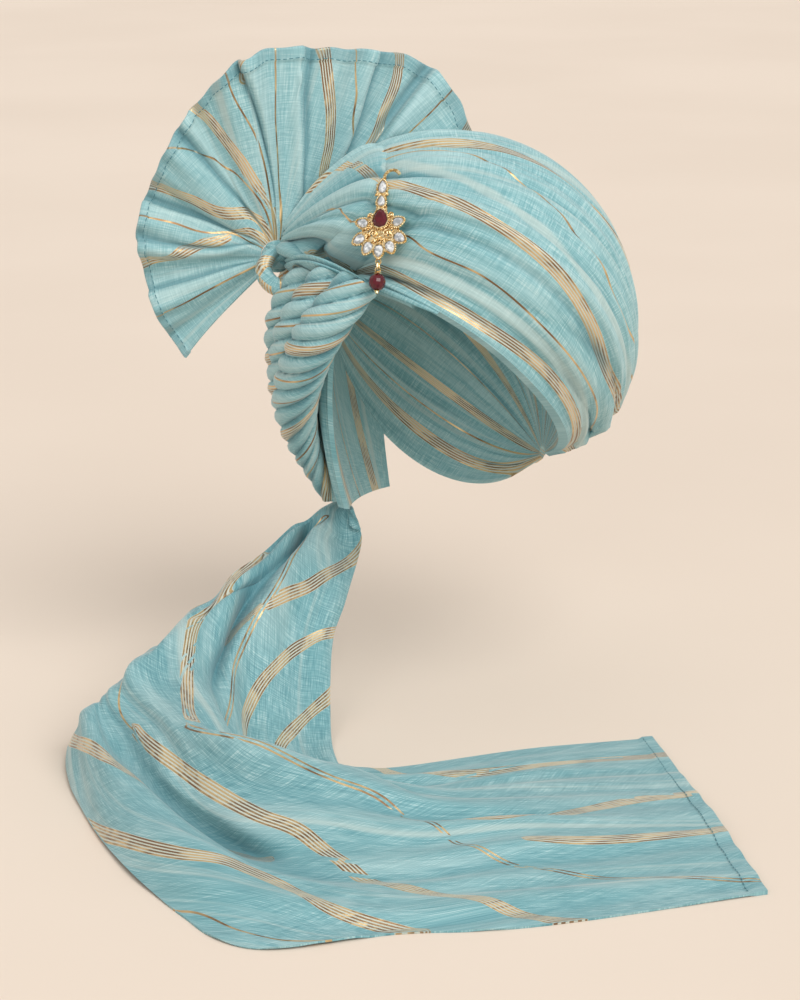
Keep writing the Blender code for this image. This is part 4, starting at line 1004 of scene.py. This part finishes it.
def make_knot_loop(finish):
    count, sides = 70, 36
    table = np.array(KNOT_LOOP)
    share = np.linspace(0, 1, count)
    row = smooth_curve(np.linspace(0, 1, len(table)), table, share) * MM
    centres, radius = knot_centre() + row[:, :3], row[:, 3]
    _, side, up = axes_along(centres)
    phi = np.linspace(0, 2 * np.pi, sides + 1)
    folds = pleat_profile(phi / (2 * np.pi) * 5 + 1.2 * share[:, None]) - 0.6
    reach = radius[:, None] * (0.96 + 0.16 * folds)
    rings = rings_about(centres, side, up, reach * np.cos(phi), reach * np.sin(phi))
    length = run_length(centres)
    around = phi * 0.006 + 0 * share[:, None]
    along = length[:, None] + 0 * phi
    distances = [along - at + 0.35 * (around - 0.018) for at in (0.016, 0.037)]
    weave = pair(around, along)
    return tube("knot_loop", rings[:, :-1], weave, (distances, [MULTI, MULTI]), finish, folds)


FAN_REACH = 0.155
FAN_RUFFLE = 0.0070
FAN_HEM_WIDTH = 0.0105
FAN_HEM_THICKNESS = 0.0030
FAN_PLEATS = 6
FAN_CLEAR = 0.007
FAN_LEAN = 0.080
FAN_OUTLINE = (
    (-138.0, 0.600), (-104.0, 0.575), (-74.0, 0.612), (-57.0, 0.622), (-41.0, 0.668), (-24.0, 0.748),
    (-7.0, 0.862), (12.0, 0.890), (28.0, 0.950), (41.0, 1.000), (50.0, 0.995), (61.0, 0.960),
)
# Stripes that run from the knot to the fan's hem: kind, shares of the way out, and degrees from straight up
FAN_STRIPES = (
    (THIN, (0.0, 0.48, 0.73, 1.0), (-114.0, -114.7, -115.4, -115.7)),
    (MULTI, (0.0, 0.15, 0.30, 0.48, 0.72, 1.0), (-44.0, -50.0, -70.0, -80.5, -88.5, -93.2)),
    (THIN, (0.0, 0.19, 0.44, 0.72, 1.0), (-60.0, -64.0, -72.5, -73.4, -73.8)),
    (MULTI, (0.0, 0.12, 0.35, 0.66, 1.0), (-10.0, -21.0, -46.3, -54.5, -60.3)),
    (THIN, (0.0, 0.20, 0.42, 0.75, 1.0), (-10.0, -14.0, -22.4, -36.0, -44.3)),
    (MULTI, (0.0, 0.14, 0.29, 0.52, 0.78, 1.0), (-2.0, -5.0, -13.4, -18.5, -24.0, -28.4)),
    (THIN, (0.0, 0.55, 0.86, 1.0), (-6.0, -9.5, -14.1, -14.8)),
    (MULTI, (0.90, 0.95, 1.0), (-9.5, -8.8, -8.0)),
    (THIN, (0.0, 0.21, 0.36, 0.58, 0.79, 1.0), (10.0, 6.0, 2.5, -0.4, -0.2, -0.1)),
    (MULTI, (0.0, 0.12, 0.20, 0.33, 0.53, 0.69, 0.82, 1.0), (60.0, 56.0, 39.8, 30.1, 24.2, 20.6, 17.4, 12.8)),
    (THIN, (0.0, 0.45, 0.60, 0.79, 1.0), (46.0, 36.4, 28.8, 24.8, 21.1)),
    (MULTI, (0.0, 0.39, 0.47, 0.58, 0.71, 0.85, 1.0), (50.0, 45.4, 43.7, 43.4, 38.7, 35.8, 32.0)),
    (THIN, (0.0, 0.57, 0.72, 0.85, 1.0), (54.0, 51.0, 50.4, 50.0, 49.0)),
    (MULTI, (0.0, 0.93, 1.0), (60.0, 60.5, 59.0)),
)


def fan_surface(share, out):
    """The fan's middle surface; share runs along the hem, out from the knot to the edge."""
    outline = np.array(FAN_OUTLINE)
    angle = outline[0, 0] + (outline[-1, 0] - outline[0, 0]) * share
    reach = FAN_REACH * smooth_curve(outline[:, 0], outline[:, 1], angle.ravel()).reshape(angle.shape)
    start = KNOT_RADIUS + GAP
    ruffle = np.sin(2 * np.pi * 21 * share + 1.1 * np.sin(9 * share)) * ease((out - 0.55) / 0.45)
    reach = reach * (1 + 0.004 * ruffle * (out > 0.9))
    radius = start + (reach - start) * out
    centre = knot_centre()
    pleat = np.sin(2 * np.pi * FAN_PLEATS * share)
    crease = pleat_profile(FAN_PLEATS * 2.5 * share + 0.3 * np.sin(9 * share)) - 0.6
    bend = np.radians(angle + 1.6 * np.sin(2 * np.pi * FAN_PLEATS * share + 1.2) * np.sin(np.pi * out))
    x = centre[0] + radius * np.sin(bend)
    z = centre[2] + radius * np.cos(bend)
    y = centre[1] + FAN_LEAN * ease((angle + 10) / 67) * out + FAN_RUFFLE * pleat * out**0.8
    y = y + 0.0010 * crease * np.sin(np.pi * np.clip(out, 0, 1)) ** 0.6 * (1 - out * 0.6)
    y = y + 0.0016 * ruffle
    near = 1 - ((x - CROWN_CENTRE[0]) / (CROWN_HALF[0] + FAN_CLEAR)) ** 2
    near = near - ((z - CROWN_CENTRE[2]) / (CROWN_HALF[2] + FAN_CLEAR)) ** 2
    behind = CROWN_CENTRE[1] + (CROWN_HALF[1] + FAN_CLEAR) * np.sqrt(np.maximum(near, 0))
    y = np.maximum(y, np.where(near > 0, behind, y))
    return np.stack([x, y, z], axis=-1), angle, radius


# Pleats of the fan that lap over their neighbour: the first is the deep one in the middle
FAN_FOLDS = tuple(
    {"lean": lean, "where": (0.0, 0.25, 0.5, 0.75, 1.08), "there": there,
     "lap": lap, "rise": rise, "deep": deep, "wide": wide, "fade": 0.12}
    for lean, there, lap, rise, deep, wide in (
        (-1, (4.0, -1.0, -4.5, -6.5, -9.5), 0.012, 0.005, 0.007, 0.008),
        (1, (-60.0, -80.0, -84.0, -84.0, -83.0), 0.005, 0.007, 0.007, 0.011),
        (-1, (-20.0, -30.0, -35.0, -36.0, -36.0), 0.005, 0.005, 0.006, 0.010),
        (1, (-50.0, -62.0, -66.0, -68.0, -68.0), 0.004, 0.005, 0.006, 0.010),
        (1, (-105.0, -106.0, -107.0, -107.0, -106.0), 0.004, 0.005, 0.006, 0.010),
        (1, (40.0, 22.0, 15.0, 10.0, 7.0), 0.004, 0.006, 0.006, 0.008),
        (1, (48.0, 38.0, 33.0, 29.0, 27.0), 0.004, 0.005, 0.006, 0.008),
        (-1, (54.0, 50.0, 47.0, 44.0, 42.0), 0.004, 0.005, 0.006, 0.008),
    )
)
FAN_WEAVE_RADIUS = 0.10
STITCH_LENGTH = 0.0030
STITCH_RADIUS = 0.00032
STITCH_PITCH = 0.0044


def fan_shape(rows, out):
    """The folded middle surface of the fan, with its relief and its grids of places out, angles and radii."""
    share, out = np.meshgrid(np.linspace(0, 1, rows), out, indexing="ij")
    middle, angle, radius = fan_surface(share, out)
    size = np.clip(radius / FAN_REACH, 0.02, 1)
    middle, relief = fold_over(middle, angle, out, FAN_FOLDS, FAN_FACING, size)
    return middle, relief, out, angle, radius


def ring_walls(quads, base, count, sides):
    """Adds the quads between rings of points to a list."""
    for i in range(count - 1):
        low, high = base + i * sides, base + (i + 1) * sides
        for j in range(sides):
            k = (j + 1) % sides
            quads.append((low + j, high + j, high + k, low + k))


def add_stitches(name, line, facing, finish):
    """A row of short stitches that stand on a line of points, facing a row of normals."""
    length = run_length(line)
    points, quads = [], []
    sides = 6
    phi = np.linspace(0, 2 * np.pi, sides, endpoint=False)
    profile = ((-0.50, 0.35), (-0.36, 0.9), (0.0, 1.0), (0.36, 0.9), (0.50, 0.35))
    for start in np.arange(STITCH_PITCH, length[-1] - STITCH_PITCH, STITCH_PITCH):
        centre = np.array([np.interp(start, length, line[:, k]) for k in range(3)])
        ahead = np.array([np.interp(start + STITCH_LENGTH / 2, length, line[:, k]) for k in range(3)])
        along = unit(ahead - centre)
        up = np.array([np.interp(start, length, facing[:, k]) for k in range(3)])
        up = unit(up - along * (up @ along))
        side = np.cross(along, up)
        base = len(points)
        for at, wide in profile:
            ring = centre + along * at * STITCH_LENGTH
            for angle in phi:
                points.append(ring + STITCH_RADIUS * wide * (side * math.cos(angle) + up * math.sin(angle)))
        ring_walls(quads, base, len(profile), sides)
        last = base + (len(profile) - 1) * sides
        for first in (base, last):
            ring = [first + j for j in range(sides)]
            if first == base:
                ring = ring[::-1]
            quads.append((ring[0], ring[3], ring[2], ring[1]))
            quads.append((ring[0], ring[5], ring[4], ring[3]))
    quads = np.array(quads)
    where = np.zeros((len(quads), 4, 2))
    return add_mesh(name, np.array(points), quads, {"weave": where}, finish)


def make_fan(finish, thread):
    """The standing end of the cloth: one sheet pleated out from the knot, with a turned hem."""
    rows, columns = ((420, 84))
    hem = 1 - FAN_HEM_WIDTH / FAN_REACH
    out = np.concatenate([np.linspace(0, hem - 0.004, columns - 14), np.linspace(hem, 1, 14)])
    middle, relief, out, angle, radius = fan_shape(rows, out)
    rounded = np.sqrt(np.clip((1.0 - out) / 0.012, 0.12, 1))
    thickness = np.where(out >= hem - 1e-6, FAN_HEM_THICKNESS * 0.9 * rounded, 0.0010)
    stripes = stripe_map(middle, angle, out, FAN_STRIPES)
    # Relief lowered on the turned hem and near the knot: painted shade there.
    relief = relief - 0.5 * ease((out - hem) / 0.01) - 0.2 * (1 - ease(radius / 0.06))
    weave = pair(np.radians(angle) * FAN_WEAVE_RADIUS, radius)
    fan = sheet_wall("fan_cloth", middle, thickness, weave, stripes, finish, relief)
    normals = grid_normals(middle)
    at = columns - 13
    for side, name in ((1, "fan_stitches_front"), (-1, "fan_stitches_back")):
        line = middle[:, at] + side * normals[:, at] * (FAN_HEM_THICKNESS * 0.45)
        stitches = add_stitches(name, line, side * normals[:, at], thread)
        stitches.parent = fan
    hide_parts("fan")
    return fan


# Tail

TAIL_DROP = 0.115
TAIL_REACH = 0.500
TAIL_ROOT = (-0.070, 0.058, -0.130)
TAIL_COLUMNS = (
    "inner_x", "inner_y", "inner_z", "valley_at", "valley_z", "crest_x", "crest_y", "crest_z",
    "channel_x", "channel_y", "channel_z", "ridge_at", "ridge_z", "outer_x", "outer_y", "outer_z",
)
TAIL_STATIONS = (
    (0.012, -0.050, 1.00, 0.50, 1.00, 0.009, -0.015, 1.00,
     0.008, -0.001, 1.00, 0.60, 1.00, 0.006, 0.020, 1.00),
    (0.028, -0.040, 0.82, 0.45, 0.82, -0.027, -0.059, 0.87,
     -0.044, -0.065, 0.90, 0.57, 0.93, -0.072, -0.075, 0.93),
    (0.008, -0.146, 0.57, 0.58, 0.70, -0.081, -0.172, 0.80,
     -0.103, -0.180, 0.82, 0.58, 0.81, -0.136, -0.184, 0.78),
    (-0.010, -0.200, 0.36, 0.60, 0.45, -0.137, -0.262, 0.60,
     -0.178, -0.282, 0.66, 0.55, 0.63, -0.207, -0.272, 0.58),
    (-0.010, -0.330, 0.04, 0.60, 0.16, -0.170, -0.385, 0.42,
     -0.256, -0.388, 0.48, 0.50, 0.40, -0.292, -0.325, 0.28),
    (0.000, -0.415, 0.00, 0.60, 0.05, -0.156, -0.530, 0.42,
     -0.270, -0.460, 0.24, 0.62, 0.30, -0.338, -0.400, 0.01),
    (0.006, -0.428, 0.00, 0.50, 0.05, -0.114, -0.596, 0.41,
     -0.210, -0.575, 0.11, 0.60, 0.22, -0.300, -0.604, 0.00),
    (0.012, -0.432, 0.00, 0.45, 0.05, -0.042, -0.640, 0.36,
     -0.122, -0.712, 0.07, 0.55, 0.18, -0.205, -0.830, 0.00),
    (0.030, -0.438, 0.00, 0.42, 0.05, 0.030, -0.664, 0.30,
     -0.046, -0.797, 0.06, 0.50, 0.11, -0.090, -0.990, 0.00),
    (0.080, -0.436, 0.00, 0.40, 0.03, 0.112, -0.680, 0.20,
     0.078, -0.847, 0.05, 0.50, 0.07, 0.070, -0.955, 0.00),
    (0.240, -0.372, 0.00, 0.30, 0.02, 0.236, -0.680, 0.11,
     0.232, -0.798, 0.03, 0.58, 0.04, 0.230, -0.932, 0.00),
    (0.406, -0.330, 0.00, 0.34, 0.01, 0.457, -0.626, 0.03,
     0.475, -0.728, 0.01, 0.64, 0.01, 0.494, -0.840, 0.00),
)
# Stripes along the tail: kind, stations they run through, and share of the way across the rails there
TAIL_STRIPES = (
    (MULTI, (8.5, 9.0, 9.5, 10.0, 10.5, 11.0), (-0.02, 0.08, 0.15, 0.175, 0.17, 0.16)),
    (MULTI, (9.2, 9.7, 10.2, 10.6, 11.0), (0.44, 0.415, 0.365, 0.335, 0.32)),
    (MULTI, (9.95, 10.3, 10.65, 11.0), (0.48, 0.49, 0.485, 0.47)),
    (DOUBLE, (5.3, 6.5, 7.7, 8.7, 9.4, 10.0, 10.5, 11.0), (0.46, 0.43, 0.43, 0.44, 0.49, 0.58, 0.71, 0.85)),
    (DOUBLE, (0.6, 1.2, 1.98, 2.86, 3.47, 4.25, 5.0), (0.60, 0.36, 0.26, 0.25, 0.26, 0.30, 0.32)),
    (MULTI, (1.6, 2.2, 2.8, 3.5, 4.3, 5.0), (1.0, 0.84, 0.66, 0.50, 0.44, 0.44)),
    (THIN, (2.5, 3.0, 3.6, 4.3, 5.0), (1.03, 0.92, 0.78, 0.64, 0.56)),
    (MULTI, (5.0, 5.5, 6.2, 7.2, 8.0, 8.6, 9.1, 9.5, 9.9, 10.2),
     (0.555, 0.535, 0.52, 0.52, 0.53, 0.575, 0.65, 0.76, 0.89, 1.02)),
    (MULTI, (4.4, 4.8, 5.26, 5.74, 6.07, 6.5, 7.0, 7.6), (1.04, 0.97, 0.90, 0.80, 0.73, 0.66, 0.62, 0.58)),
    (MULTI, (5.9, 6.5, 7.11, 7.59, 8.18, 8.53, 8.89, 9.22), (1.05, 0.95, 0.86, 0.77, 0.76, 0.85, 0.94, 1.0)),
    (THIN, (7.3, 7.43, 7.92, 8.31, 8.6), (1.0, 0.97, 0.945, 0.97, 1.0)),
    (MULTI, (1.0, 1.25, 1.75, 2.2, 2.7, 3.2), (-0.06, 0.01, 0.13, 0.18, 0.24, 0.33)),
    (MULTI, (2.6, 2.76, 3.05, 3.4, 3.9, 4.6), (-0.04, 0.01, 0.11, 0.18, 0.22, 0.24)),
    (MULTI, (3.4, 3.6, 3.85, 4.25, 5.0), (-0.04, 0.01, 0.07, 0.12, 0.16)),
)
TAIL_HEM_WIDTH = 0.011
# Folds that lean over: the back panel's edge over the front panel, the first ridge over the channel in
# front of it, and the same ridge over the valley behind it
TAIL_FOLDS = (
    {"lean": 1, "where": (0.4, 1.0, 2.0, 3.3, 4.3), "there": (0.60, 0.44, 0.33, 0.32, 0.33),
     "lap": 0.012, "rise": 0.005, "deep": 0.012, "wide": 0.010, "fade": 0.8},
    {"lean": 1, "where": (5.2, 6.0, 7.0, 8.0, 9.0), "there": (0.60, 0.58, 0.57, 0.57, 0.60),
     "lap": 0.009, "rise": 0.005, "deep": 0.009, "wide": 0.011, "fade": 2.0},
    {"lean": -1, "where": (4.9, 5.4, 6.0, 7.0, 8.0, 9.2),
     "there": (0.42, 0.40, 0.38, 0.36, 0.35, 0.37),
     "lap": 0.009, "rise": 0.005, "deep": 0.009, "wide": 0.010, "fade": 1.7},
)


def tail_surface(stations, across):
    """The tail's middle surface; stations run from root to hem, across from the inner to the outer edge."""
    table = np.array(TAIL_STATIONS)
    row = smooth_curve(np.arange(len(table)), table, stations)
    column = {name: row[:, k] for k, name in enumerate(TAIL_COLUMNS)}
    lines = ("inner", "valley", "crest", "channel", "ridge", "outer")
    between = {"valley": ("inner", "crest"), "ridge": ("channel", "outer")}
    rails = []
    for line in lines:
        near, far = between.get(line, (line, line))
        at = column.get(line + "_at", 0.0)
        x = column[near + "_x"] + (column[far + "_x"] - column[near + "_x"]) * at
        y = column[near + "_y"] + (column[far + "_y"] - column[near + "_y"]) * at
        rails.append(np.stack([
            TAIL_ROOT[0] + TAIL_REACH * x,
            TAIL_ROOT[1] + TAIL_REACH * y,
            SURFACE_Z + CLOTH / 2 + np.maximum(TAIL_DROP * column[line + "_z"], 0),
        ], axis=-1))
    return smooth_curve(np.arange(len(lines)), np.stack(rails), across * 5).transpose(1, 0, 2)


def tail_shape(rows, columns):
    """The folded middle surface of the tail, its relief, and its grids of stations, places and metres."""
    stations = np.linspace(0, 11, rows)
    across = np.linspace(0, 1, columns)
    middle = tail_surface(stations, across)
    steps = np.linalg.norm(np.diff(middle, axis=0), axis=2)
    along = np.concatenate([np.zeros((1, columns)), np.cumsum(steps, axis=0)])
    steps = np.linalg.norm(np.diff(middle, axis=1), axis=2)
    wide = np.concatenate([np.zeros((rows, 1)), np.cumsum(steps, axis=1)], axis=1)
    station_grid = stations[:, None] + 0 * across
    across_grid = across[None, :] + 0 * stations[:, None]
    normals = grid_normals(middle)
    normals = normals * np.sign(normals[..., 2:3] + 1e-9)
    middle, relief = fold_over(middle, across_grid, station_grid, TAIL_FOLDS, TAIL_FACING)
    calm = ease(station_grid / 1.2) * (0.25 + 0.75 * (1 - ease((station_grid - 9.6) / 1.4)))
    creases = ripples(wide, along, ((22, 2.5, 1.0), (45, 5.0, 0.35)), SEED + 1)
    sag = ripples(wide, along, ((7, 5.0, 1.0),), SEED + 2)
    middle = middle + normals * (calm * (0.0022 * creases + 0.0016 * sag))[..., None]
    # The creases add to the relief: painted highlight and painted shade follow them.
    return middle, relief + 0.25 * creases, station_grid, across_grid, wide, along


def make_tail(finish, thread):
    """The loose end: it drops from the nape, turns on the surface and runs to its hem in soft ridges."""
    rows, columns = ((340, 140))
    middle, relief, station_grid, across_grid, wide, along = tail_shape(rows, columns)
    to_hem = along[-1:] - along
    hem = ease((TAIL_HEM_WIDTH - to_hem) / 0.0015)
    thickness = 0.0011 + 0.0014 * hem
    thickness = np.where(station_grid < 0.35, thickness + 0.0015 * (1 - station_grid / 0.35), thickness)
    middle[..., 2] = np.maximum(middle[..., 2], SURFACE_Z + thickness / 2 + 0.0001)
    stripes = stripe_map(middle, across_grid, station_grid, TAIL_STRIPES)
    tail = sheet_wall("tail_cloth", middle, thickness, pair(wide, along), stripes, finish, relief)
    co = np.empty(len(tail.data.vertices) * 3)
    tail.data.vertices.foreach_get("co", co)
    co = co.reshape(-1, 3)
    co[:, 2] = np.clip(co[:, 2], SURFACE_Z, ROLL_BOTTOM_Z - GAP)
    tail.data.vertices.foreach_set("co", co.ravel())
    tail.data.update()
    at = int(np.argmin(np.abs(to_hem[:, columns // 2] - TAIL_HEM_WIDTH)))
    up = grid_normals(middle)[at]
    up = up * np.sign(up[:, 2:3])
    stitches = add_stitches("tail_stitches", middle[at] + up * 0.0012, up, thread)
    stitches.parent = tail
    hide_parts("tail")
    return tail


# Brooch

# Stones of the brooch, in mm from the ruby's middle: across, up, width, height, and lean in degrees
BROOCH_STONES = (
    ("stone_ruby", 0, 0, 9.2, 11.8, 0), ("stone_neck_low", 0, 11.6, 4.6, 6.6, 0),
    ("stone_neck_high", 0.3, 20.9, 5.0, 8.0, 0), ("stone_side_right", -11.8, -2.6, 5.2, 7.0, 74),
    ("stone_side_left", 11.8, -2.6, 5.2, 7.0, -74), ("stone_petal_1", -13.4, -13.4, 5.6, 7.6, 122),
    ("stone_petal_2", -7.4, -19.2, 5.6, 7.6, 152), ("stone_petal_3", 0, -21.6, 5.6, 7.8, 180),
    ("stone_petal_4", 7.4, -19.2, 5.6, 7.6, 208), ("stone_petal_5", 13.4, -13.4, 5.6, 7.6, 238),
)
GRANULE_RADIUS = 0.00062
GRANULE_PITCH = 0.00135
# How far outside a stone the granules stand, and the margin that they are counted on
GRANULE_OUTSIDE = 0.0011
GRANULE_COUNT_MARGIN = 0.0012
SCROLL_RADIUS = 0.00058
SCROLL_SIDES = 7
SCROLL_RINGS = 26
# How far out from the stones' middles the granules and the scrolls stand; less than 0 is behind them
GRANULE_AWAY = -0.0003
SCROLL_AWAY = -0.0007
# Scrolls on the disc, in mm: across and up of the middle, first radius, turns in degrees from and to.
# One that is off the middle line has a mirrored copy.
SCROLLS = (
    (-4.2, -9.6, 2.6, 200, -220), (-7.0, -5.4, 1.9, 250, -150), (0.0, -14.2, 2.1, 90, 500),
    (-3.6, -14.6, 1.7, 30, 420), (-8.6, -10.4, 1.7, 180, -180), (-6.6, 2.4, 1.7, 200, -160),
    (-2.6, 16.2, 1.3, 200, -160),
)


def brooch_axes():
    """The brooch's own frame, fitted to its stones: middle, across, up and away."""
    places = np.array([[s[1], s[2]] for s in BROOCH_STONES]) * MM
    middles = []
    for row in BROOCH_STONES:
        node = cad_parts[row[0]]
        corners = np.array([node.matrix_world @ vertex.co for vertex in node.data.vertices])
        middles.append((corners.min(axis=0) + corners.max(axis=0)) / 2)
    fit, *_ = np.linalg.lstsq(np.c_[places, np.ones(len(places))], np.array(middles), rcond=None)
    across, up = unit(fit[0]), fit[1]
    up = unit(up - across * (up @ across))
    return fit[2], across, up, np.cross(across, up)


def ball(points, quads, centre, radius, steps=5, sides=8):
    """Adds a small closed ball to lists of points and quads."""
    base = len(points)
    lean = np.linspace(0.25, math.pi - 0.25, steps)
    for a in lean:
        for b in np.linspace(0, 2 * np.pi, sides, endpoint=False):
            spot = (math.sin(a) * math.cos(b), math.sin(a) * math.sin(b), math.cos(a))
            points.append(centre + radius * np.array(spot))
    ring_quads(quads, base, steps, sides)


def ring_quads(quads, base, count, sides):
    """Adds the quads of a closed tube of rings, with flat ends, to a list.

    With an odd number of sides the last quad of each end names one point twice.
    """
    ring_walls(quads, base, count, sides)
    for first, flip in ((base, True), (base + (count - 1) * sides, False)):
        for j in range(1, sides - 1, 2):
            cap = (first, first + j + 2 if j + 2 < sides else first + j + 1, first + j + 1, first + j)
            quads.append(cap[::-1] if flip else cap)


def stone_outline(row, grow, count):
    """Points round a stone's drop shape, in metres across and up, grown by a margin."""
    _, x, y, wide, tall, lean = row
    phi = np.linspace(0, 2 * np.pi, count, endpoint=False)
    u = (tall / 2 * MM + grow) * np.cos(phi)
    a = (wide / 2 * MM + grow) * np.sin(phi) * (1 - 0.28 * np.cos(phi))
    turn = math.radians(lean)
    across = x * MM + a * math.cos(turn) - u * math.sin(turn)
    up = y * MM + a * math.sin(turn) + u * math.cos(turn)
    return np.stack([across, up], axis=1)


def both_sides(scrolls):
    """The scrolls, each that is off the middle line followed by its mirrored copy."""
    for x, y, radius, first, last in scrolls:
        yield x, y, radius, first, last
        if x:
            yield -x, y, radius, 180 - first, 180 - last


def make_filigree(finish):
    """Granules round every stone and scrolls of wire between them."""
    middle, across, up, away = brooch_axes()
    if away[1] > 0:
        away = -away

    def place(x, y, out):
        return middle + across * x + up * y + away * out

    points, quads = [], []
    for row in BROOCH_STONES:
        girth = math.pi * (row[3] + row[4]) / 2 * MM + 2 * math.pi * GRANULE_COUNT_MARGIN
        count = int(girth / GRANULE_PITCH)
        for x, y in stone_outline(row, GRANULE_OUTSIDE, count):
            ball(points, quads, place(x, y, GRANULE_AWAY), GRANULE_RADIUS)
    ring = np.linspace(0, 2 * np.pi, SCROLL_SIDES, endpoint=False)
    t = np.linspace(0, 1, SCROLL_RINGS)
    for x, y, radius, first, last in both_sides(SCROLLS):
        turn = np.radians(first + (last - first) * t)
        reach = radius * MM * (1 - 0.72 * t)
        line = np.array([
            place(x * MM + r * math.cos(a), y * MM + r * math.sin(a), SCROLL_AWAY)
            for r, a in zip(reach, turn)
        ])
        ahead = np.gradient(line, axis=0)
        ahead = ahead / np.linalg.norm(ahead, axis=1, keepdims=True)
        side = np.cross(ahead, away)
        base = len(points)
        for k in range(SCROLL_RINGS):
            for b in ring:
                points.append(line[k] + SCROLL_RADIUS * (side[k] * math.cos(b) + away * math.sin(b)))
        ring_quads(quads, base, SCROLL_RINGS, SCROLL_SIDES)
        ball(points, quads, line[-1], SCROLL_RADIUS * 1.5)
        ball(points, quads, line[0], SCROLL_RADIUS * 1.5)
    quads = np.array(quads)
    where = np.zeros((len(quads), 4, 2))
    return add_mesh("brooch_filigree", np.array(points), quads, {"weave": where}, finish)


# Set

FLOOR_THICKNESS = 0.02


def make_stage():
    """A pale floor that runs on beyond what the camera sees."""
    x, y = np.meshgrid(np.linspace(-8, 8, 33), np.linspace(-4, 22, 53), indexing="ij")
    floor_top = np.stack([x, y, SURFACE_Z + 0 * x], axis=-1)
    floor_bottom = floor_top - np.array([0, 0, FLOOR_THICKNESS])
    floor = wall("studio_floor", floor_top, floor_bottom, pair(x, y), None, floor_finish())


def turned_to(place, aim):
    """The rotation that points a light or a camera from its place to its aim."""
    return (Vector(aim) - Vector(place)).to_track_quat("-Z", "Y").to_euler()


def add_light(name, kind, place, aim, size, power, colour):
    data = bpy.data.lights.new(name, kind)
    data.energy, data.color = power, colour
    if kind == "SUN":
        data.angle = size
    else:
        data.shape, data.size = "DISK", size
    light = bpy.data.objects.new(name, data)
    light.location = place
    light.rotation_euler = turned_to(place, aim)
    bpy.context.scene.collection.objects.link(light)


def make_set():
    make_stage()
    add_light("key", "SUN", (1.1, -1.6, 2.0), (0, 0, 0), 0.75, 1.80, (1.0, 0.98, 0.95))
    add_light("front", "AREA", (-0.9, -2.0, 0.7), (0, 0.0, 0.0), 0.9, 5, (1.0, 0.98, 0.96))
    world = bpy.data.worlds.new("studio")
    world.use_nodes = True
    tree = world.node_tree
    background = tree.nodes["Background"]
    place = tree.nodes.new("ShaderNodeTexCoord")
    split = tree.nodes.new("ShaderNodeSeparateXYZ")
    tree.links.new(place.outputs["Generated"], split.inputs[0])
    ramp = tree.nodes.new("ShaderNodeValToRGB")
    ramp.color_ramp.elements[0].position, ramp.color_ramp.elements[0].color = 0.05, (0.76, 0.73, 0.69, 1)
    ramp.color_ramp.elements[1].position, ramp.color_ramp.elements[1].color = 0.95, (0.88, 0.86, 0.83, 1)
    slant = tree.nodes.new("ShaderNodeMapRange")
    slant.inputs["From Min"].default_value, slant.inputs["From Max"].default_value = -1, 1
    tree.links.new(split.outputs[0], slant.inputs["Value"])
    tree.links.new(slant.outputs[0], ramp.inputs["Fac"])
    tree.links.new(ramp.outputs["Color"], background.inputs["Color"])
    background.inputs["Strength"].default_value = 0.82
    bpy.context.scene.world = world
    bpy.context.scene.view_settings.view_transform = "Standard"
    data = bpy.data.cameras.new("camera")
    data.sensor_width = SENSOR
    data.lens = SENSOR / 2 / math.tan(math.radians(CAMERA_FIELD) / 2)
    data.clip_start, data.clip_end = 0.05, 30
    camera = bpy.data.objects.new("camera", data)
    camera.location = CAMERA_PLACE
    camera.rotation_euler = turned_to(CAMERA_PLACE, CAMERA_AIM)
    bpy.context.scene.collection.objects.link(camera)
    bpy.context.scene.camera = camera


def finish_jewels():
    """Procedural finishes for the brooch's own CAD pieces."""
    gold = gold_finish()
    clear = stone_finish("cut_glass", (0.30, 0.33, 0.36, 1), (0.80, 0.83, 0.85, 1))
    ruby = stone_finish("ruby_glass", (0.075, 0.0008, 0.006, 1), (0.105, 0.0014, 0.010, 1))
    finishes = {"brooch": gold, "drop_link": gold, "drop_cap": gold, "stone_ruby": ruby, "drop_bead": ruby}
    for name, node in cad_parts.items():
        finish = finishes.get(name, clear if name.startswith("stone_") else None)
        if finish:
            node.data.materials.clear()
            node.data.materials.append(finish)
    filigree = make_filigree(gold)
    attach(filigree, "root")


def main():
    cloth = striped_cloth("striped_cloth")
    # The fan's copy is paler: painted light showing through the sheer layer.
    sheer_lit_cloth = striped_cloth("sheer_lit_striped_cloth", light_through=0.12)
    # The tail's copy is darker: painted shade over the whole of it.
    shaded_laid_cloth = striped_cloth("shaded_laid_striped_cloth", deep=0.55)
    makers = (make_crown, make_front_lap, make_side_wrap, make_knot, make_knot_loop)
    pieces = [make(cloth) for make in makers]
    pieces += [make_roll(row, cloth) for row in ROLLS]
    pieces += [make_brow_fold(row, cloth) for row in BROW_FOLDS]
    thread = thread_finish()
    fan, tail = make_fan(sheer_lit_cloth, thread), make_tail(shaded_laid_cloth, thread)
    for piece in pieces:
        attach(piece, "root")
    for piece in (fan, tail):
        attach(piece, "root")
    finish_jewels()
    make_set()


main()
